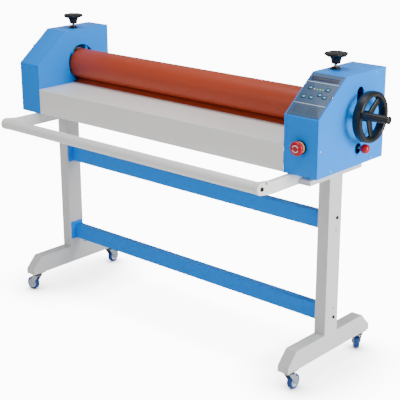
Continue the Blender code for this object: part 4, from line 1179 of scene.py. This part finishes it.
def caster_wheel(corner, axle, axis):
    """A soft tread on a hard core with a hub, a thin web and a rim."""
    wheel_r = axle[2]
    tread = [
        (wheel_r * 0.72, -0.0105), (wheel_r * 0.90, -0.0108), (wheel_r, -0.0070),
        (wheel_r, 0.0070), (wheel_r * 0.90, 0.0108), (wheel_r * 0.72, 0.0105),
    ]
    skin(
        f"{corner}_tread", turned(tread, axle, axis, 64, 0.0035, closed=True),
        "blue_tread", f"{corner}_wheel", (f"{corner}_caster_wheel",), loop=True,
    )
    core = [
        (0.0043, -0.0125), (0.0090, -0.0125), (0.0090, -0.0070), (wheel_r * 0.60, -0.0062),
        (wheel_r * 0.62, -0.0100), (wheel_r * 0.715, -0.0100), (wheel_r * 0.715, 0.0100),
        (wheel_r * 0.62, 0.0100), (wheel_r * 0.60, 0.0062), (0.0090, 0.0070),
        (0.0090, 0.0125), (0.0043, 0.0125),
    ]
    skin(
        f"{corner}_wheel_core", turned(core, axle, axis, 48, 0.0007, closed=True),
        "caster_core", f"{corner}_wheel", (f"{corner}_caster_wheel",), loop=True,
    )


def caster(corner):
    """All pieces of one caster, placed from its swivel and axle joints."""
    swivel = np.array(joint_of[f"{corner}_swivel"]["pos_m"])
    on_floor = np.array([swivel[0], swivel[1], 0])
    roll = joint_of[f"{corner}_roll"]
    axle = np.array(roll["pos_m"])
    axis = np.array(roll["axis"], float)
    axis /= np.linalg.norm(axis)
    crown_top = caster_plate(corner, on_floor) - 0.0003
    fork_crown(corner, on_floor, crown_top)
    fork_cheeks(corner, on_floor, crown_top, axle, axis)
    caster_wheel(corner, axle, axis)


for name in ("left_front", "left_rear", "right_front", "right_rear"):
    caster(name)

# %% [markdown]
# ## Power inlet and inner drive
# The rear inlet is a moulded frame with a socket and a rocker. The drive parts
# stay hidden in the right housing; they keep their CAD shape with softened edges.

# %% Rear and inner parts
softened("power_inlet", "black_plastic", "frame", 0.0006)
softened("rocker_switch", "red_plastic", "power_switch", 0.0006)
softened("gear_motor", "motor_paint", "frame", 0.0015)
softened("motor_sprocket", "steel", "motor_output", 0.0002)
softened("roller_sprocket", "steel", "lower_roller", 0.0002)
softened("drive_chain", "steel", "frame", 0.0004)

# %% [markdown]
# ## Studio
# A sheet of white paper is the floor and bends up into the wall behind. The key
# light stands at the machine's right, where the side panels are brightest, and
# two softer ones fill the front and the top. Enough light to make the paper pure
# white would bleach the paint, so the paper also glows, for the camera only.

# %% Paper finish
PAPER_GLOW = 11.0           # extra light that the camera sees from open paper
SHADE_REACH = 0.3           # how far from a solid the glow begins to fade
SHADE_POWER = 3.0


def paper_finish():
    """The glow is the open share of the air above the paper, raised to SHADE_POWER,
    so that it fades beside the casters and their shade stays."""
    paper = material("paper", (244, 244, 244), 0.9, 60, 0.02, 0.01)
    tree = paper.node_tree
    shader = tree.nodes["Principled BSDF"].inputs
    seen = node(tree, "ShaderNodeLightPath").outputs["Is Camera Ray"]
    air = node(tree, "ShaderNodeAmbientOcclusion", [("Distance", SHADE_REACH)]).outputs["AO"]
    lit = node(tree, "ShaderNodeMath", [(0, air), (1, SHADE_POWER)], operation="POWER")
    shown = node(
        tree, "ShaderNodeMath", [(0, seen), (1, lit.outputs[0])], operation="MULTIPLY"
    )
    glow = node(
        tree, "ShaderNodeMath", [(0, shown.outputs[0]), (1, PAPER_GLOW)], operation="MULTIPLY"
    )
    shader["Emission Color"].default_value = (1.0, 1.0, 1.0, 1)
    tree.links.new(glow.outputs[0], shader["Emission Strength"])
    return paper


# %% Floor
def studio_sweep(half_width=14.0, front=-14.0, bend_start=6, bend_r=1.5, back=7.5, top=9.0):
    """A floor that bends up into a wall through a quarter circle: at angle a it is
    bend_r*sin(a) further back and bend_r*(1-cos(a)) higher."""
    angle = np.linspace(0, np.pi / 2, 16)
    bend = np.array([np.sin(angle), 1 - np.cos(angle)]) * bend_r
    level = np.concatenate([[front], np.linspace(-6, 4.5, 12)])
    run = np.concatenate([level, bend_start + bend[0], [back]])
    rise = np.concatenate([np.zeros(len(level)), bend[1], [top]])
    width = np.linspace(-half_width, half_width, 15)
    shape = (len(run), len(width))
    sweep = np.stack([
        np.broadcast_to(width[None], shape),
        np.broadcast_to(run[:, None], shape),
        np.broadcast_to(rise[:, None], shape),
    ], -1)
    index = np.arange(len(run) * len(width)).reshape(shape)
    faces = np.stack([index[:-1, :-1], index[:-1, 1:], index[1:, 1:], index[1:, :-1]], -1)
    mesh = bpy.data.meshes.new("studio_sweep")
    mesh.from_pydata(sweep.reshape(-1, 3).tolist(), [], faces.reshape(-1, 4).tolist())
    mesh.shade_smooth()
    mesh.materials.append(paper_finish())
    return bpy.data.objects.new("studio_sweep", mesh)


floor = studio_sweep()
bpy.context.scene.collection.objects.link(floor)
floor.rotation_euler = (0, 0, math.radians(42))
floor.location = (0, 0, -0.0002)
print("floor", [round(size, 1) for size in floor.dimensions])

# %% Lights
world = bpy.data.worlds.new("studio")
world.use_nodes = True
sky = world.node_tree.nodes["Background"]
sky.inputs["Color"].default_value = (1.0, 1.0, 1.0, 1)
sky.inputs["Strength"].default_value = 0.33
bpy.context.scene.world = world


def area_light(name, location, target, size, power):
    lamp = bpy.data.lights.new(name, "AREA")
    lamp.shape = "RECTANGLE"
    lamp.size, lamp.size_y = size
    lamp.energy = power
    obj = bpy.data.objects.new(name, lamp)
    aim = Vector(target) - Vector(location)
    obj.location = location
    obj.rotation_euler = aim.to_track_quat("-Z", "Y").to_euler()
    bpy.context.scene.collection.objects.link(obj)
    return obj


area_light("key", (4.6, 0.6, 2.0), (0.3, 0, 0.8), (2.0, 2.4), 290)
area_light("front_fill", (-1.0, -5.0, 2.4), (0, 0, 0.8), (3.0, 2.0), 66)
area_light("top", (0, -0.2, 4.4), (0, 0, 0.8), (3.0, 1.6), 110)

# %% Camera
AIM = middle("upper_roller_sleeve") + np.array([0, 0.0581, -0.508])
DISTANCE = 4.510
azimuth, elevation, roll = np.radians([41.944, 18.273, -0.182])


def camera_axes():
    """The camera's right, up and backward directions, turned by roll about its view."""
    backward = np.array([
        math.sin(azimuth) * math.cos(elevation),
        -math.cos(azimuth) * math.cos(elevation),
        math.sin(elevation),
    ])
    level = np.cross(-backward, Z_AXIS)
    level /= np.linalg.norm(level)
    upward = np.cross(level, -backward)
    turned_right = math.cos(roll) * level + math.sin(roll) * upward
    turned_up = -math.sin(roll) * level + math.cos(roll) * upward
    return np.stack([turned_right, turned_up, backward], 1)


lens = bpy.data.cameras.new("camera")
lens.sensor_width = 36
lens.lens = 95.5
lens.shift_x = -0.0044
lens.shift_y = -0.0027
camera = bpy.data.objects.new("camera", lens)
axes = camera_axes()
place = Matrix.Translation(AIM + DISTANCE * axes[:, 2])
camera.matrix_world = place @ Matrix(axes.tolist()).to_4x4()
bpy.context.scene.collection.objects.link(camera)
bpy.context.scene.camera = camera
print("camera", [round(value, 3) for value in camera.matrix_world.translation])
